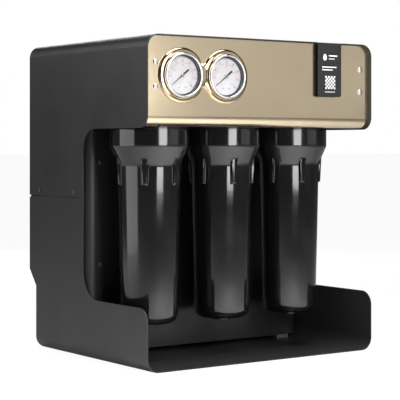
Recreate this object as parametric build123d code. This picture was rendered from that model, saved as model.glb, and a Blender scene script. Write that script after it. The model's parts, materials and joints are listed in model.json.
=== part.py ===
from build123d import *
import math
import os

os.makedirs("parts", exist_ok=True)

# A counter-top reverse osmosis water unit. Millimetres, X to the right, Y to the back, Z up.
# The origin is the centre of the cabinet's footprint, on the surface it stands on.

# Cabinet: two folded shells that make a closed band round the unit, open at the front.
width = 440.0
depth = 358.0
height = 500.0
sheet = 1.5
wrap_bend = 20.0
seam_height = 252.5
seam_gap = 0.8
seam_notch = 3.0
tray_height = 95.0
tray_corner = 22.0
recess_depth = 185.0
recess_lower_sweep = 45.0
recess_upper_sweep = 35.0
header_height = 139.0
header_corner = 20.0
rear_step_depth = 22.0
rear_step_top = 130.0
rear_step_bottom = 103.0
panel_gap = 0.4

# Fascia and the tongue that carries the badge
fascia_setback = 7.0
fascia_bend = 16.0
fascia_lift = 2.5
fascia_flange_end = 49.0
fascia_top_flange = 12.0
fascia_screw_inset = 19.0
fascia_screw_drops = (41.5, 78.0)
tongue_width = 48.3
tongue_inset = 65.5
tongue_drop = 87.0
tongue_bend = 3.0
tongue_corner = 4.5
tongue_relief = 1.6

# Recess panel and the frame behind it
recess_panel_bend = 22.0
recess_panel_lift = 7.5
recess_screw_inset = 32.5
recess_screw_heights = (146.0, 309.0)
upright_width = 24.0
upright_depth = 18.0
upright_shift = 5.0
upright_foot = 8.0
frame_sheet = 2.0
bracket_sheet = 2.5
bracket_lift = 69.0
bracket_front_gap = 3.0
elbow_half = 6.5

# Pressure gauges
gauge_inset = 65.0
gauge_pitch = 81.0
gauge_drop = 60.0
case_radius = 31.0
case_wall = 1.5
case_depth = 24.0
case_rim_out = 6.0
trim_radius = 42.0
trim_plate = 1.6
trim_out = 4.6
trim_fillet = 5.0
bezel_radius = 33.6
bezel_opening = 30.3
bezel_start = 3.6
bezel_out = 10.4
lens_thickness = 1.6
dial_out = 2.6
dial_thickness = 0.6
pointer_reach = 22.0
pointer_tail = 14.0
pointer_neck = 4.0
pointer_thickness = 0.5
pointer_gap = 1.0
pointer_rest_angle = 232.0
spindle_radius = 0.75
stem_length = 12.0
clamp_sheet = 1.5

# Filter housings
bowl_pitch = 140.0
bowl_setback = 116.7
collar_radius = 62.8
collar_drop = 28.0
collar_rise = 11.0
collar_wall = 6.8
shoulder = 12.8
shoulder_drop = 55.0
body_taper = 5.0
bowl_drop = 303.0
bowl_foot_radius = 15.0
bowl_foot = 4.0
bowl_wall = 4.0
bowl_bottom_round = 15.0
thread_length = 20.0
thread_gap = 0.4
seal_section = 1.75
seal_groove = 2.4
rib_count = 6
rib_width = 9.4
rib_proud = 3.0
rib_top_drop = 43.0
rib_bottom_drop = 88.0
rib_turns = (48.6, 16.6, 16.6)
head_radius = 61.0
head_wall = 5.0
neck_radius = 12.0
neck_bore = 7.0
neck_grip = 10.0
element_length = 252.0
element_gap = 10.0
element_bore_gap = 1.0
element_cap = 12.0
element_lift = 0.3
port_offset = 20.0
port_lift = 39.0
drain_port_drop = 16.0
sense_port_lift = 8.0
head_screw_offset = 30.0

# Tubing and push-in fittings
tube_radius = 4.76
tube_wall = 1.4
sense_tube_radius = 2.0
sense_tube_wall = 0.75
socket_gap = 0.1
socket_depth = 11.0
fitting_radius = 9.0
sense_fitting_radius = 5.5
arc_share = 0.45

# Pump set
pump_setback = 64.0
pump_height = 62.0
motor_radius = 32.0
motor_length = 100.0
motor_wall = 2.5
shaft_radius = 5.0
shaft_gap = 0.05
armature_radius = 21.0
pump_radius = 38.0
pump_length = 55.0
pump_shift = 12.5
pump_port_spread = 15.0
rubber_mount_radius = 9.0
rubber_mount_height = 10.0

# Valve, switch, supply and the rear connections
cover_inset = 2.0
port_height = 50.0
inner_port_setback = 16.0
drain_port_x = -110.0
product_port_x = -60.0
bulkhead_radius = 9.0
collet_radius = 7.0
collet_gap = 0.3
collet_travel = 1.5
collet_lip = 2.0
mains_x = 115.0
mains_height = 55.0
rocker_spacing = 37.0
rocker_tilt = 9.0
supply_size = (129.0, 85.0, 38.0)
supply_x = 130.0
vent_length = 60.0
vent_width = 4.0
vent_pitch = 11.0
vent_count = 8

# Screws
screw_radius = 2.0
screw_head_radius = 4.0
screw_head_height = 2.2
screw_gap = 0.25
screw_length = 9.0
seam_screw_setbacks = (28.0, 139.0)
seam_screw_lift = 8.8
rear_screw_heights = (60.0, 200.0, 290.0, 470.0)
rear_screw_inset = 10.0
tab_size = 20.0
head_screw_radius = 3.0

# Places that follow from the sizes above
front_y = -depth / 2
rear_y = depth / 2
side_x = width / 2
inner_x = side_x - sheet
header_bottom = height - header_height
recess_y = front_y + recess_depth
fascia_y = front_y + fascia_setback
fascia_underside = header_bottom + fascia_lift
fascia_top = height - sheet - panel_gap
bowl_y = front_y + bowl_setback
bowl_xs = (-bowl_pitch, 0.0, bowl_pitch)
bracket_z = header_bottom + bracket_lift
port_z = header_bottom + port_lift
cover_y = rear_y - cover_inset
lower_cover_y = cover_y - rear_step_depth
tab_front = 2 * sheet + 0.1
gauge_z = height - gauge_drop
gauge_xs = (-side_x + gauge_inset, -side_x + gauge_inset + gauge_pitch)
gauge_names = ("left", "right")
housing_names = ("prefilter", "membrane", "postfilter")
collar_bottom = header_bottom - collar_drop
collar_top = header_bottom + collar_rise
collar_bore = collar_radius - collar_wall
ledge_z = collar_top - thread_length - 1.5
boss_bottom = ledge_z + 1.2
body_top_radius = collar_radius - shoulder
body_bottom_radius = body_top_radius - body_taper
body_bottom = header_bottom - bowl_drop
cavity_floor = body_bottom + bowl_wall
element_radius = body_bottom_radius - bowl_wall - element_gap
element_bottom = cavity_floor + element_lift
element_top = element_bottom + element_length
pump_y = recess_y + pump_setback
pump_start = -motor_length - pump_shift
pump_join = -pump_shift
pump_port_x = pump_join + pump_length / 2
inner_port_y = lower_cover_y - inner_port_setback - sheet
feed_x = bowl_xs[0] - port_offset
valve_z = port_height + 100.0


def block(x, y, z):
    """A box between the two values given for each axis."""
    middle = Pos(sum(x) / 2, sum(y) / 2, sum(z) / 2)
    return middle * Box(x[1] - x[0], y[1] - y[0], z[1] - z[0])


def rod(radius, start, end):
    """A round bar between two points."""
    run = Vector(*end) - Vector(*start)
    return extrude(Plane(origin=start, z_dir=run) * Circle(radius), amount=run.length)


def pipe(outer, inner, start, end):
    """A round bar with a hole all the way along it."""
    return rod(outer, start, end) - rod(inner, start, end)


def hex_rod(radius, start, end):
    """A six-sided bar between two points, measured over its corners."""
    run = Vector(*end) - Vector(*start)
    return extrude(Plane(origin=start, z_dir=run) * RegularPolygon(radius, 6), amount=run.length)


def outline(corners):
    """A closed face from (u, v, radius) corners, each rounded by its own radius."""
    face = make_face(Polyline(*[(u, v) for u, v, _ in corners], close=True))
    for u, v, radius in corners:
        if radius > 0:
            corner = face.vertices().sort_by_distance((u, v, 0))[0]
            face = fillet(corner, radius)
    return face


def along_x(face, x0, x1):
    """Extrude a face drawn in Y and Z from x0 to x1."""
    return extrude(Plane(origin=(x0, 0, 0), x_dir=(0, 1, 0), z_dir=(1, 0, 0)) * face, amount=x1 - x0)


def along_y(face, y0, y1):
    """Extrude a face drawn in X and Z from y0 to y1."""
    return extrude(Plane(origin=(0, y1, 0), x_dir=(1, 0, 0), z_dir=(0, -1, 0)) * face, amount=y1 - y0)


def along_z(face, z0, z1):
    """Extrude a face drawn in X and Y from z0 to z1."""
    return extrude(Pos(0, 0, z0) * face, amount=z1 - z0)


def spin_upright(face, x, y):
    """Turn a face drawn as radius and Z about a vertical axis."""
    plane = Plane(origin=(x, y, 0), x_dir=(1, 0, 0), z_dir=(0, -1, 0))
    return revolve(plane * face, Axis((x, y, 0), (0, 0, 1)))


def spin_level(face, x, y, z):
    """Turn a face drawn as radius and distance in front of y about an axis that faces the front."""
    plane = Plane(origin=(x, y, z), x_dir=(1, 0, 0), z_dir=(0, 0, -1))
    return revolve(plane * face, Axis((x, y, z), (0, 1, 0)))


def dome_screw(point, outward, length=screw_length):
    """A button-head screw whose head sits on point and faces outward."""
    dome = ThreePointArc((screw_head_radius, 0), (screw_head_radius * 0.72, screw_head_height * 0.72),
                         (0, screw_head_height))
    sides = Polyline((0, screw_head_height), (0, -length), (screw_radius, -length),
                     (screw_radius, 0), (screw_head_radius, 0))
    turned = revolve(Plane.XZ * make_face([dome, sides]), Axis.Z)
    socket = Pos(0, 0, screw_head_height - 1.2) * extrude(RegularPolygon(1.4, 6), amount=2)
    return Plane(origin=point, z_dir=outward).location * (turned - socket)


def band(inset):
    """The cabinet's rounded cross-section, drawn inwards by inset."""
    section = RectangleRounded(width - 2 * inset, height - 2 * inset, wrap_bend - inset)
    return Pos(0, height / 2) * section


def side_profile():
    """The cabinet's side, a C that opens to the front, with a step at the lower back."""
    step_y = rear_y - rear_step_depth
    return outline([
        (front_y, 0, 0),
        (front_y, tray_height, tray_corner),
        (recess_y, tray_height, recess_lower_sweep),
        (recess_y, header_bottom, recess_upper_sweep),
        (front_y, header_bottom, header_corner),
        (front_y, height, 0),
        (rear_y, height, 0),
        (rear_y, rear_step_top, 0),
        (step_y, rear_step_bottom, 0),
        (step_y, 0, 0),
    ])


def folded_band():
    """The whole band of sheet, both shells in one."""
    ring = along_y(band(0) - band(sheet), front_y, rear_y)
    return ring & along_x(side_profile(), -side_x - 1, side_x + 1)


def seam_screw_points():
    return [(side * side_x, recess_y + setback, seam_height + seam_screw_lift)
            for side in (-1, 1) for setback in seam_screw_setbacks]


def recess_screw_points():
    return [(side * (side_x - recess_screw_inset), recess_y, z)
            for side in (-1, 1) for z in recess_screw_heights]


def rear_screw_points():
    """Screws that hold the rear cover, each on the stretch of cover at its height."""
    points = []
    for side in (-1, 1):
        for z in rear_screw_heights:
            y = lower_cover_y if z < rear_step_bottom else cover_y
            points.append((side * (inner_x - rear_screw_inset), y, z))
    return points


def fascia_screw_points():
    return [(side * (side_x - fascia_screw_inset), fascia_y, height - drop)
            for side in (-1, 1) for drop in fascia_screw_drops]


def screw_holes(points, outward, radius):
    """Drills through a wall at each point, along the screw."""
    reach = 6.0
    holes = Part()
    for point in points:
        way = Vector(*outward) * reach
        holes += rod(radius, Vector(*point) - way, Vector(*point) + way)
    return holes


def rear_tabs(low, high):
    """Ears bent in from the sides that the rear cover is screwed to, between two heights."""
    tabs = Part()
    for x, y, z in rear_screw_points():
        if low < z < high:
            edge = math.copysign(inner_x + sheet / 2, x)
            inside = x - math.copysign(tab_size / 3, x)
            span = (min(edge, inside), max(edge, inside))
            ear = block(span, (y - tab_front, y - tab_front + sheet), (z - tab_size / 2, z + tab_size / 2))
            tabs += ear - rod(screw_radius + 0.05, (x, y - 8, z), (x, y, z))
    return tabs


def fascia_lugs():
    """Ears inside the header that the fascia is screwed to."""
    lugs = Part()
    top, bottom = (height - drop for drop in fascia_screw_drops)
    back = fascia_y + sheet + 0.1
    for side in (-1, 1):
        span = sorted((side * (inner_x + sheet / 2), side * (side_x - fascia_screw_inset - 8)))
        lugs += block(span, (back, back + sheet), (bottom - 9, top + 9))
    return lugs - screw_holes(fascia_screw_points(), (0, 1, 0), screw_radius + 0.05)


def tongue():
    """The strip of the top sheet that is bent down in front of the fascia."""
    left = side_x - tongue_inset - tongue_width
    bottom = height - tongue_drop
    root = front_y + 12
    fold = outline([
        (front_y, bottom, 0),
        (front_y, height, tongue_bend),
        (root, height, 0),
        (root, height - sheet, 0),
        (front_y + sheet, height - sheet, tongue_bend - sheet),
        (front_y + sheet, bottom, 0),
    ])
    face = outline([
        (left, bottom, tongue_corner),
        (left + tongue_width, bottom, tongue_corner),
        (left + tongue_width, height, 0),
        (left, height, 0),
    ])
    return along_x(fold, left, left + tongue_width) & along_y(face, front_y - 1, root + 1)


def tongue_clearance():
    """The room for the fold of the tongue and the relief slot at each side of it."""
    left = side_x - tongue_inset - tongue_width
    right = left + tongue_width
    fold = block((left, right), (front_y - 1, front_y + 5), (height - sheet - 1, height + 1))
    for x in (left - tongue_relief, right):
        fold += block((x, x + tongue_relief), (front_y - 1, front_y + 5), (height - sheet - 1, height + 1))
    return fold


def upper_shell():
    shell = folded_band() & block((-width, width), (-depth, depth), (seam_height + seam_gap / 2, height))
    shell = shell - tongue_clearance() + tongue() + rear_tabs(seam_height, height) + fascia_lugs()
    return shell - screw_holes(seam_screw_points(), (1, 0, 0), screw_radius + screw_gap)


def lower_shell():
    shell = folded_band() & block((-width, width), (-depth, depth), (0, seam_height - seam_gap / 2))
    notch = block((-width, width), (rear_y - 4, rear_y + 1), (seam_height - seam_notch, seam_height))
    return shell - notch + rear_tabs(0, seam_height)


def seam_straps():
    """Strips behind the seam, one on each side, welded to the lower shell."""
    outer = inner_x - 0.1
    straps = Part()
    for side in (-1, 1):
        span = sorted((side * outer, side * (outer - sheet)))
        ends = (recess_y + recess_panel_bend + 2, rear_y - 30)
        straps += block(span, ends, (seam_height - 27, seam_height + 20))
    return straps - screw_holes(seam_screw_points(), (1, 0, 0), screw_radius + 0.05)


def front_fascia():
    half = inner_x - panel_gap
    back = fascia_y + sheet
    bend_top = fascia_underside + fascia_bend
    corner = wrap_bend - sheet - panel_gap
    face = outline([(-half, bend_top, 0), (half, bend_top, 0),
                    (half, fascia_top, corner), (-half, fascia_top, corner)])
    fold = outline([
        (fascia_y, bend_top + 1, 0),
        (fascia_y, fascia_underside, fascia_bend),
        (front_y + fascia_flange_end, fascia_underside, 0),
        (front_y + fascia_flange_end, fascia_underside + sheet, 0),
        (back, fascia_underside + sheet, fascia_bend - sheet),
        (back, bend_top + 1, 0),
    ])
    rim_end = half - corner - 4
    rim = block((-rim_end, rim_end), (fascia_y + sheet / 2, fascia_y + fascia_top_flange),
                (fascia_top - sheet, fascia_top))
    panel = along_y(face, fascia_y, back) + along_x(fold, -half, half) + rim
    panel -= screw_holes(fascia_screw_points(), (0, 1, 0), screw_radius + screw_gap)
    for x in gauge_xs:
        panel -= rod(case_radius + panel_gap, (x, fascia_y - 5, gauge_z), (x, fascia_y + 5, gauge_z))
    return panel


def header_floor():
    """The plate that closes the header from below, with a hole for each collar."""
    half = inner_x - panel_gap
    low = fascia_underside + sheet + 0.1
    front = front_y + fascia_flange_end - 20
    plate = block((-half, half), (front, recess_y + sheet), (low, low + sheet))
    for x in bowl_xs:
        plate -= rod(collar_radius + 2.2, (x, bowl_y, low - 5), (x, bowl_y, low + 5))
    return plate


def recess_panel():
    """The wall behind the bowls, rolled back at both sides."""
    half = inner_x - 0.3
    end = recess_y + recess_panel_bend + 1
    back = recess_y + sheet
    section = outline([
        (-half, end, 0),
        (-half, recess_y, recess_panel_bend),
        (half, recess_y, recess_panel_bend),
        (half, end, 0),
        (half - sheet, end, 0),
        (half - sheet, back, recess_panel_bend - sheet),
        (-half + sheet, back, recess_panel_bend - sheet),
        (-half + sheet, end, 0),
    ])
    panel = along_z(section, recess_panel_lift, fascia_underside + sheet)
    panel &= along_y(band(sheet + 0.3), recess_y - 5, end + 5)
    return panel - screw_holes(recess_screw_points(), (0, 1, 0), screw_radius + screw_gap)


def inner_frame():
    """Two channels from the floor to a shelf that the filter heads hang from, welded together."""
    front = recess_y + sheet + 0.1
    frame = Part()
    for side in (-1, 1):
        x = side * (side_x - recess_screw_inset - upright_shift)
        half = upright_width / 2
        channel = block((x - half, x + half), (front, front + upright_depth), (sheet, bracket_z))
        hollow = block((x - half + frame_sheet, x + half - frame_sheet),
                       (front + frame_sheet, front + upright_depth + 1), (sheet - 1, bracket_z + 1))
        foot = block((x - half, x + half), (front, front + upright_depth + upright_foot),
                     (sheet, sheet + frame_sheet))
        frame += channel - hollow + foot
    shelf_front = gauge_elbow_y() + elbow_half + bracket_front_gap
    reach = side_x - recess_screw_inset - upright_shift + upright_width / 2
    shelf = block((-reach, reach), (shelf_front, front + upright_depth), (bracket_z, bracket_z + bracket_sheet))
    lip = block((-reach, reach), (shelf_front, shelf_front + bracket_sheet),
                (bracket_z, bracket_z + 14))
    frame += shelf + lip
    for x, y in head_screw_places():
        frame -= rod(head_screw_radius + 0.4, (x, y, bracket_z - 5), (x, y, bracket_z + 5))
    return frame - screw_holes(recess_screw_points(), (0, 1, 0), screw_radius + 0.05)


def head_screw_places():
    return [(x + dx, bowl_y + dy) for x in bowl_xs
            for dx in (-head_screw_offset, head_screw_offset)
            for dy in (-head_screw_offset, head_screw_offset)]


def rear_cover():
    half = inner_x - panel_gap
    top = height - sheet - panel_gap
    section = outline([
        (cover_y, top, 0),
        (cover_y, rear_step_top, 0),
        (lower_cover_y, rear_step_bottom, 0),
        (lower_cover_y, sheet + panel_gap, 0),
        (lower_cover_y - sheet, sheet + panel_gap, 0),
        (lower_cover_y - sheet, rear_step_bottom, 0),
        (cover_y - sheet, rear_step_top, 0),
        (cover_y - sheet, top, 0),
    ])
    cover = along_x(section, -half, half)
    cover &= along_y(band(sheet + panel_gap), front_y, rear_y)
    cover -= screw_holes(rear_screw_points(), (0, 1, 0), screw_radius + screw_gap)
    for x in (feed_x, drain_port_x, product_port_x):
        cover -= rod(bulkhead_radius + 0.3, (x, lower_cover_y - 5, port_height),
                     (x, lower_cover_y + 5, port_height))
    cover -= block((mains_x - 14.3, mains_x + rocker_spacing + 8.3), (lower_cover_y - 5, lower_cover_y + 5),
                   (mains_height - 11.3, mains_height + 11.3))
    for column in (-1, 1):
        for row in range(vent_count):
            z = height - 60 - row * vent_pitch
            slot = Pos(column * 90, z) * SlotOverall(vent_length, vent_width)
            cover -= along_y(slot, cover_y - 5, cover_y + 5)
    return cover


def gauge_trim():
    """One domed plate round both gauges, in the outline of two rings that run together."""
    rings = [Pos(x, gauge_z) * Circle(trim_radius) for x in gauge_xs]
    plate = rings[0] + rings[1]
    waist = plate.vertices().sort_by_distance(((gauge_xs[0] + gauge_xs[1]) / 2, gauge_z, 0))
    plate = fillet([waist[0], waist[1]], trim_fillet)
    trim = along_y(plate, fascia_y - trim_plate, fascia_y - 0.1)
    inner = bezel_radius + 0.4
    crown = make_face([
        Polyline((inner, trim_plate), (inner, trim_out - 0.8)),
        ThreePointArc((inner, trim_out - 0.8), (inner + 0.3, trim_out - 0.2), (inner + 1.2, trim_out)),
        ThreePointArc((inner + 1.2, trim_out), (trim_radius - 3.4, trim_out - 0.9),
                      (trim_radius - 0.4, trim_plate)),
        Polyline((trim_radius - 0.4, trim_plate), (inner, trim_plate)),
    ])
    for x in gauge_xs:
        trim += spin_level(crown, x, fascia_y, gauge_z)
    for x in gauge_xs:
        trim -= rod(case_radius + 0.3, (x, fascia_y - 9, gauge_z), (x, fascia_y + 2, gauge_z))
        trim -= rod(inner, (x, fascia_y - 9, gauge_z), (x, fascia_y - trim_plate, gauge_z))
    return trim


def gauge_case(x):
    """A cup with a stem at the back and a bearing block for the pointer's spindle."""
    back = -case_depth
    cup = outline([
        (0, back, 0),
        (case_radius, back, 2),
        (case_radius, case_rim_out, 0),
        (case_radius - case_wall, case_rim_out, 0),
        (case_radius - case_wall, back + case_wall, 0),
        (0, back + case_wall, 0),
    ])
    case = spin_level(cup, x, fascia_y, gauge_z)
    y_back = fascia_y + case_depth
    case += rod(9, (x, y_back - 1, gauge_z), (x, fascia_y - dial_out + dial_thickness + 2, gauge_z))
    case += hex_rod(7, (x, y_back - 0.5, gauge_z), (x, y_back + stem_length - 4, gauge_z))
    case += rod(5, (x, y_back, gauge_z), (x, y_back + stem_length, gauge_z))
    for turn in range(3):
        angle = math.radians(turn * 120 + 90)
        px = x + 20 * math.cos(angle)
        pz = gauge_z + 20 * math.sin(angle)
        case += rod(2.5, (px, y_back - 1, pz), (px, fascia_y - dial_out + dial_thickness, pz))
    front = fascia_y - dial_out
    return case - rod(spindle_radius + 0.05, (x, front, gauge_z), (x, front + 12, gauge_z))


def gauge_bezel(x):
    """The rolled ring that closes the case over its lens."""
    section = outline([
        (case_radius + 0.1, bezel_start, 0),
        (bezel_radius, bezel_start, 0.8),
        (bezel_radius, bezel_out, 2.0),
        (bezel_opening, bezel_out, 1.0),
        (bezel_opening, case_rim_out + lens_thickness + 0.2, 0),
        (case_radius + 0.1, case_rim_out + lens_thickness + 0.2, 0),
    ])
    return spin_level(section, x, fascia_y, gauge_z)


def gauge_lens(x):
    y = fascia_y - case_rim_out - 0.1
    return rod(case_radius - 0.1, (x, y, gauge_z), (x, y - lens_thickness, gauge_z))


def gauge_dial(x):
    y = fascia_y - dial_out
    disc = rod(case_radius - case_wall - 0.2, (x, y + dial_thickness, gauge_z), (x, y, gauge_z))
    return disc - rod(spindle_radius + 0.5, (x, y + 3, gauge_z), (x, y - 3, gauge_z))


def gauge_pointer(x):
    """A needle with a broad tail, drawn upright and turned to its rest mark."""
    edge = [(0.4, pointer_reach), (0.9, 0), (0.9, -pointer_neck), (1.5, -pointer_neck), (1.5, -pointer_tail)]
    other_edge = [(-u, v) for u, v in reversed(edge)]
    needle = make_face(Polyline(*edge, *other_edge, close=True))
    back = fascia_y - dial_out - pointer_gap
    needle = Rot(0, 0, -pointer_rest_angle) * needle
    blade = along_y(Pos(x, gauge_z) * needle, back - pointer_thickness, back)
    hub = rod(3.2, (x, back + 0.3, gauge_z), (x, back - pointer_thickness - 0.5, gauge_z))
    spindle = rod(spindle_radius, (x, back, gauge_z), (x, back + 9, gauge_z))
    return blade + hub + spindle


def gauge_clamps():
    """A cup behind the fascia for each gauge, drawn up by the nut on its stem."""
    clamps = Part()
    for x in gauge_xs:
        start = (x, fascia_y + sheet + 0.1, gauge_z)
        end = (x, fascia_y + case_depth + 0.1, gauge_z)
        outer = case_radius + 1.2 + clamp_sheet
        cup = pipe(outer, case_radius + 1.2, start, end)
        cup += pipe(outer, 8.0, end, (x, end[1] + clamp_sheet, gauge_z))
        clamps += cup
    return clamps


def bowl_section():
    """The wall of a bowl as radius and height, from the collar's top to the foot."""
    top = collar_top
    cone_z = header_bottom - shoulder_drop
    inner_top = body_top_radius - bowl_wall
    inner_bottom = body_bottom_radius - bowl_wall
    spigot = neck_radius - 1.5
    return outline([
        (0, body_bottom - bowl_foot, 0),
        (bowl_foot_radius, body_bottom - bowl_foot, 1.5),
        (bowl_foot_radius, body_bottom, 1),
        (body_bottom_radius, body_bottom, bowl_bottom_round),
        (body_top_radius, cone_z, 6),
        (collar_radius, collar_bottom, 3),
        (collar_radius, top, 1.5),
        (collar_bore, top, 0),
        (collar_bore, ledge_z, 0),
        (inner_top, ledge_z, 0),
        (inner_top, cone_z, 0),
        (inner_bottom, cavity_floor, bowl_bottom_round - bowl_wall),
        (spigot, cavity_floor, 1),
        (spigot, cavity_floor + 9, 1),
        (0, cavity_floor + 9, 0),
    ])


def seal_track():
    """Radius of the seal's centre line, in the middle of the ledge."""
    return (collar_bore + body_top_radius - bowl_wall) / 2


def bowl_ribs(x, turn):
    """Grip ribs under the shoulder, evenly round the bowl."""
    top = header_bottom - rib_top_drop
    bottom = header_bottom - rib_bottom_drop
    inner = body_top_radius - 2.5
    reach = body_top_radius + rib_proud
    side = outline([
        (inner, bottom - 1, 0),
        (body_top_radius - 0.6, bottom, 0),
        (reach - 0.8, bottom + 3.5, 3),
        (reach + 1.4, top, 0),
        (inner, top + 1, 0),
    ])
    rib = Plane.XZ * side
    rib = Pos(0, rib_width / 2, 0) * extrude(rib, amount=rib_width)
    rib = fillet(rib.edges().sort_by(Axis.X)[-5:].filter_by(Plane.XZ), 1.6)
    ribs = Part()
    for step in range(rib_count):
        ribs += Pos(x, bowl_y, 0) * Rot(0, 0, turn + step * 360 / rib_count) * rib
    return ribs


def bowl(x, turn):
    shell = spin_upright(bowl_section(), x, bowl_y)
    track = seal_track()
    half = seal_section + 0.3
    groove = outline([(track - half, ledge_z - seal_groove, 0), (track + half, ledge_z - seal_groove, 0),
                      (track + half, ledge_z + 1, 0), (track - half, ledge_z + 1, 0)])
    return shell + bowl_ribs(x, turn) - spin_upright(groove, x, bowl_y)


def bowl_seal(x):
    middle = ledge_z - seal_groove + seal_section + 0.05
    return Pos(x, bowl_y, middle) * Torus(seal_track(), seal_section)


def filter_element(x):
    """A cartridge with an end cap at each end and a bore that takes the head's neck."""
    ends = ((element_bottom, element_bottom + element_cap), (element_top - element_cap, element_top))
    body = rod(element_radius - 1.2, (x, bowl_y, element_bottom + 1), (x, bowl_y, element_top - 1))
    for low, high in ends:
        body += rod(element_radius, (x, bowl_y, low), (x, bowl_y, high))
    bore = neck_radius + element_bore_gap
    return body - rod(bore, (x, bowl_y, element_bottom - 1), (x, bowl_y, element_top + 1))


def head_ports(x):
    """Centre, socket radius and barrel radius of each connection on one head."""
    ports = [(x - port_offset, port_z, tube_radius, fitting_radius),
             (x + port_offset, port_z, tube_radius, fitting_radius)]
    if x == bowl_xs[0]:
        ports.append((x, port_z, sense_tube_radius, sense_fitting_radius))
    if x == bowl_xs[1]:
        ports.append((x, port_z - drain_port_drop, tube_radius, fitting_radius))
        ports.append((x, port_z + sense_port_lift, sense_tube_radius, sense_fitting_radius))
    return ports


def port_face_y():
    return bowl_y + head_radius + 3


def filter_head(x):
    """The fixed cap of a housing, with the boss that the bowl screws on to."""
    low = collar_top + 1.5
    boss = collar_bore - thread_gap
    inner = boss - head_wall
    section = outline([
        (neck_bore, element_top - neck_grip, 0),
        (neck_radius, element_top - neck_grip, 1),
        (neck_radius, low + 14, 3),
        (inner, low + 14, 3),
        (inner, boss_bottom, 0),
        (boss, boss_bottom, 0),
        (boss, low, 0),
        (head_radius, low, 2),
        (head_radius, bracket_z, 5),
        (0, bracket_z, 0),
        (0, bracket_z - 14, 0),
        (neck_bore, bracket_z - 14, 0),
    ])
    head = spin_upright(section, x, bowl_y)
    face = port_face_y()
    spread = port_offset + fitting_radius + 2
    head += block((x - spread, x + spread), (bowl_y + 30, face), (port_z - 26, port_z + 18))
    for px, pz, _, barrel in head_ports(x):
        head -= rod(barrel - 1.9, (px, face - 13, pz), (px, face + 1, pz))
    for sx, sy in head_screw_places():
        head -= rod(head_screw_radius + 0.05, (sx, sy, bracket_z - 15), (sx, sy, bracket_z + 1))
    return head


def push_fittings():
    """Straight push-in fittings on the heads and the pump, and elbows on the gauges."""
    fittings = Part()
    face = port_face_y()
    for x in bowl_xs:
        for px, pz, tube, barrel in head_ports(x):
            fitting = rod(barrel - 2, (px, face - 12, pz), (px, face, pz))
            fitting += rod(barrel, (px, face, pz), (px, face + 18, pz))
            fitting -= rod(tube + socket_gap, (px, face + 18 - socket_depth, pz), (px, face + 19, pz))
            fittings += fitting - rod(tube - 1.2, (px, face - 13, pz), (px, face + 18, pz))
    for y in pump_port_ys():
        top = pump_height + pump_radius
        fitting = rod(fitting_radius - 2, (pump_port_x, y, top - 8), (pump_port_x, y, top))
        fitting += rod(fitting_radius, (pump_port_x, y, top), (pump_port_x, y, top + 18))
        fitting -= rod(tube_radius + socket_gap, (pump_port_x, y, top + 18 - socket_depth),
                       (pump_port_x, y, top + 19))
        fittings += fitting
    for x in gauge_xs:
        y = gauge_elbow_y()
        elbow = block((x - elbow_half, x + elbow_half), (y - elbow_half, y + elbow_half), (gauge_z - 7, gauge_z + 7))
        elbow += rod(sense_fitting_radius, (x, y, gauge_z + 6), (x, y, gauge_z + 20))
        elbow -= rod(sense_tube_radius + socket_gap, (x, y, gauge_z + 20 - socket_depth), (x, y, gauge_z + 21))
        fittings += elbow
    return fittings


def gauge_elbow_y():
    return fascia_y + case_depth + stem_length + elbow_half + 0.1


def pump_port_ys():
    return (pump_y - pump_port_spread, pump_y + pump_port_spread)


def tube(points, radius, wall):
    """A tube along straight runs joined by arcs as large as the runs leave room for."""
    points = [Vector(*point) for point in points]
    if len(points) == 2:
        return pipe(radius, radius - wall, points[0], points[1])
    radii = []
    for before, corner, after in zip(points, points[1:], points[2:]):
        turn = (corner - before).get_angle(after - corner)
        shorter = min((corner - before).length, (after - corner).length)
        radii.append(arc_share * shorter / math.tan(math.radians(turn) / 2))
    path = FilletPolyline(*points, radius=radii)
    start = Plane(origin=points[0], z_dir=points[1] - points[0])
    outer = sweep(start * Circle(radius), path=path)
    return outer - sweep(start * Circle(radius - wall), path=path)


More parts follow.
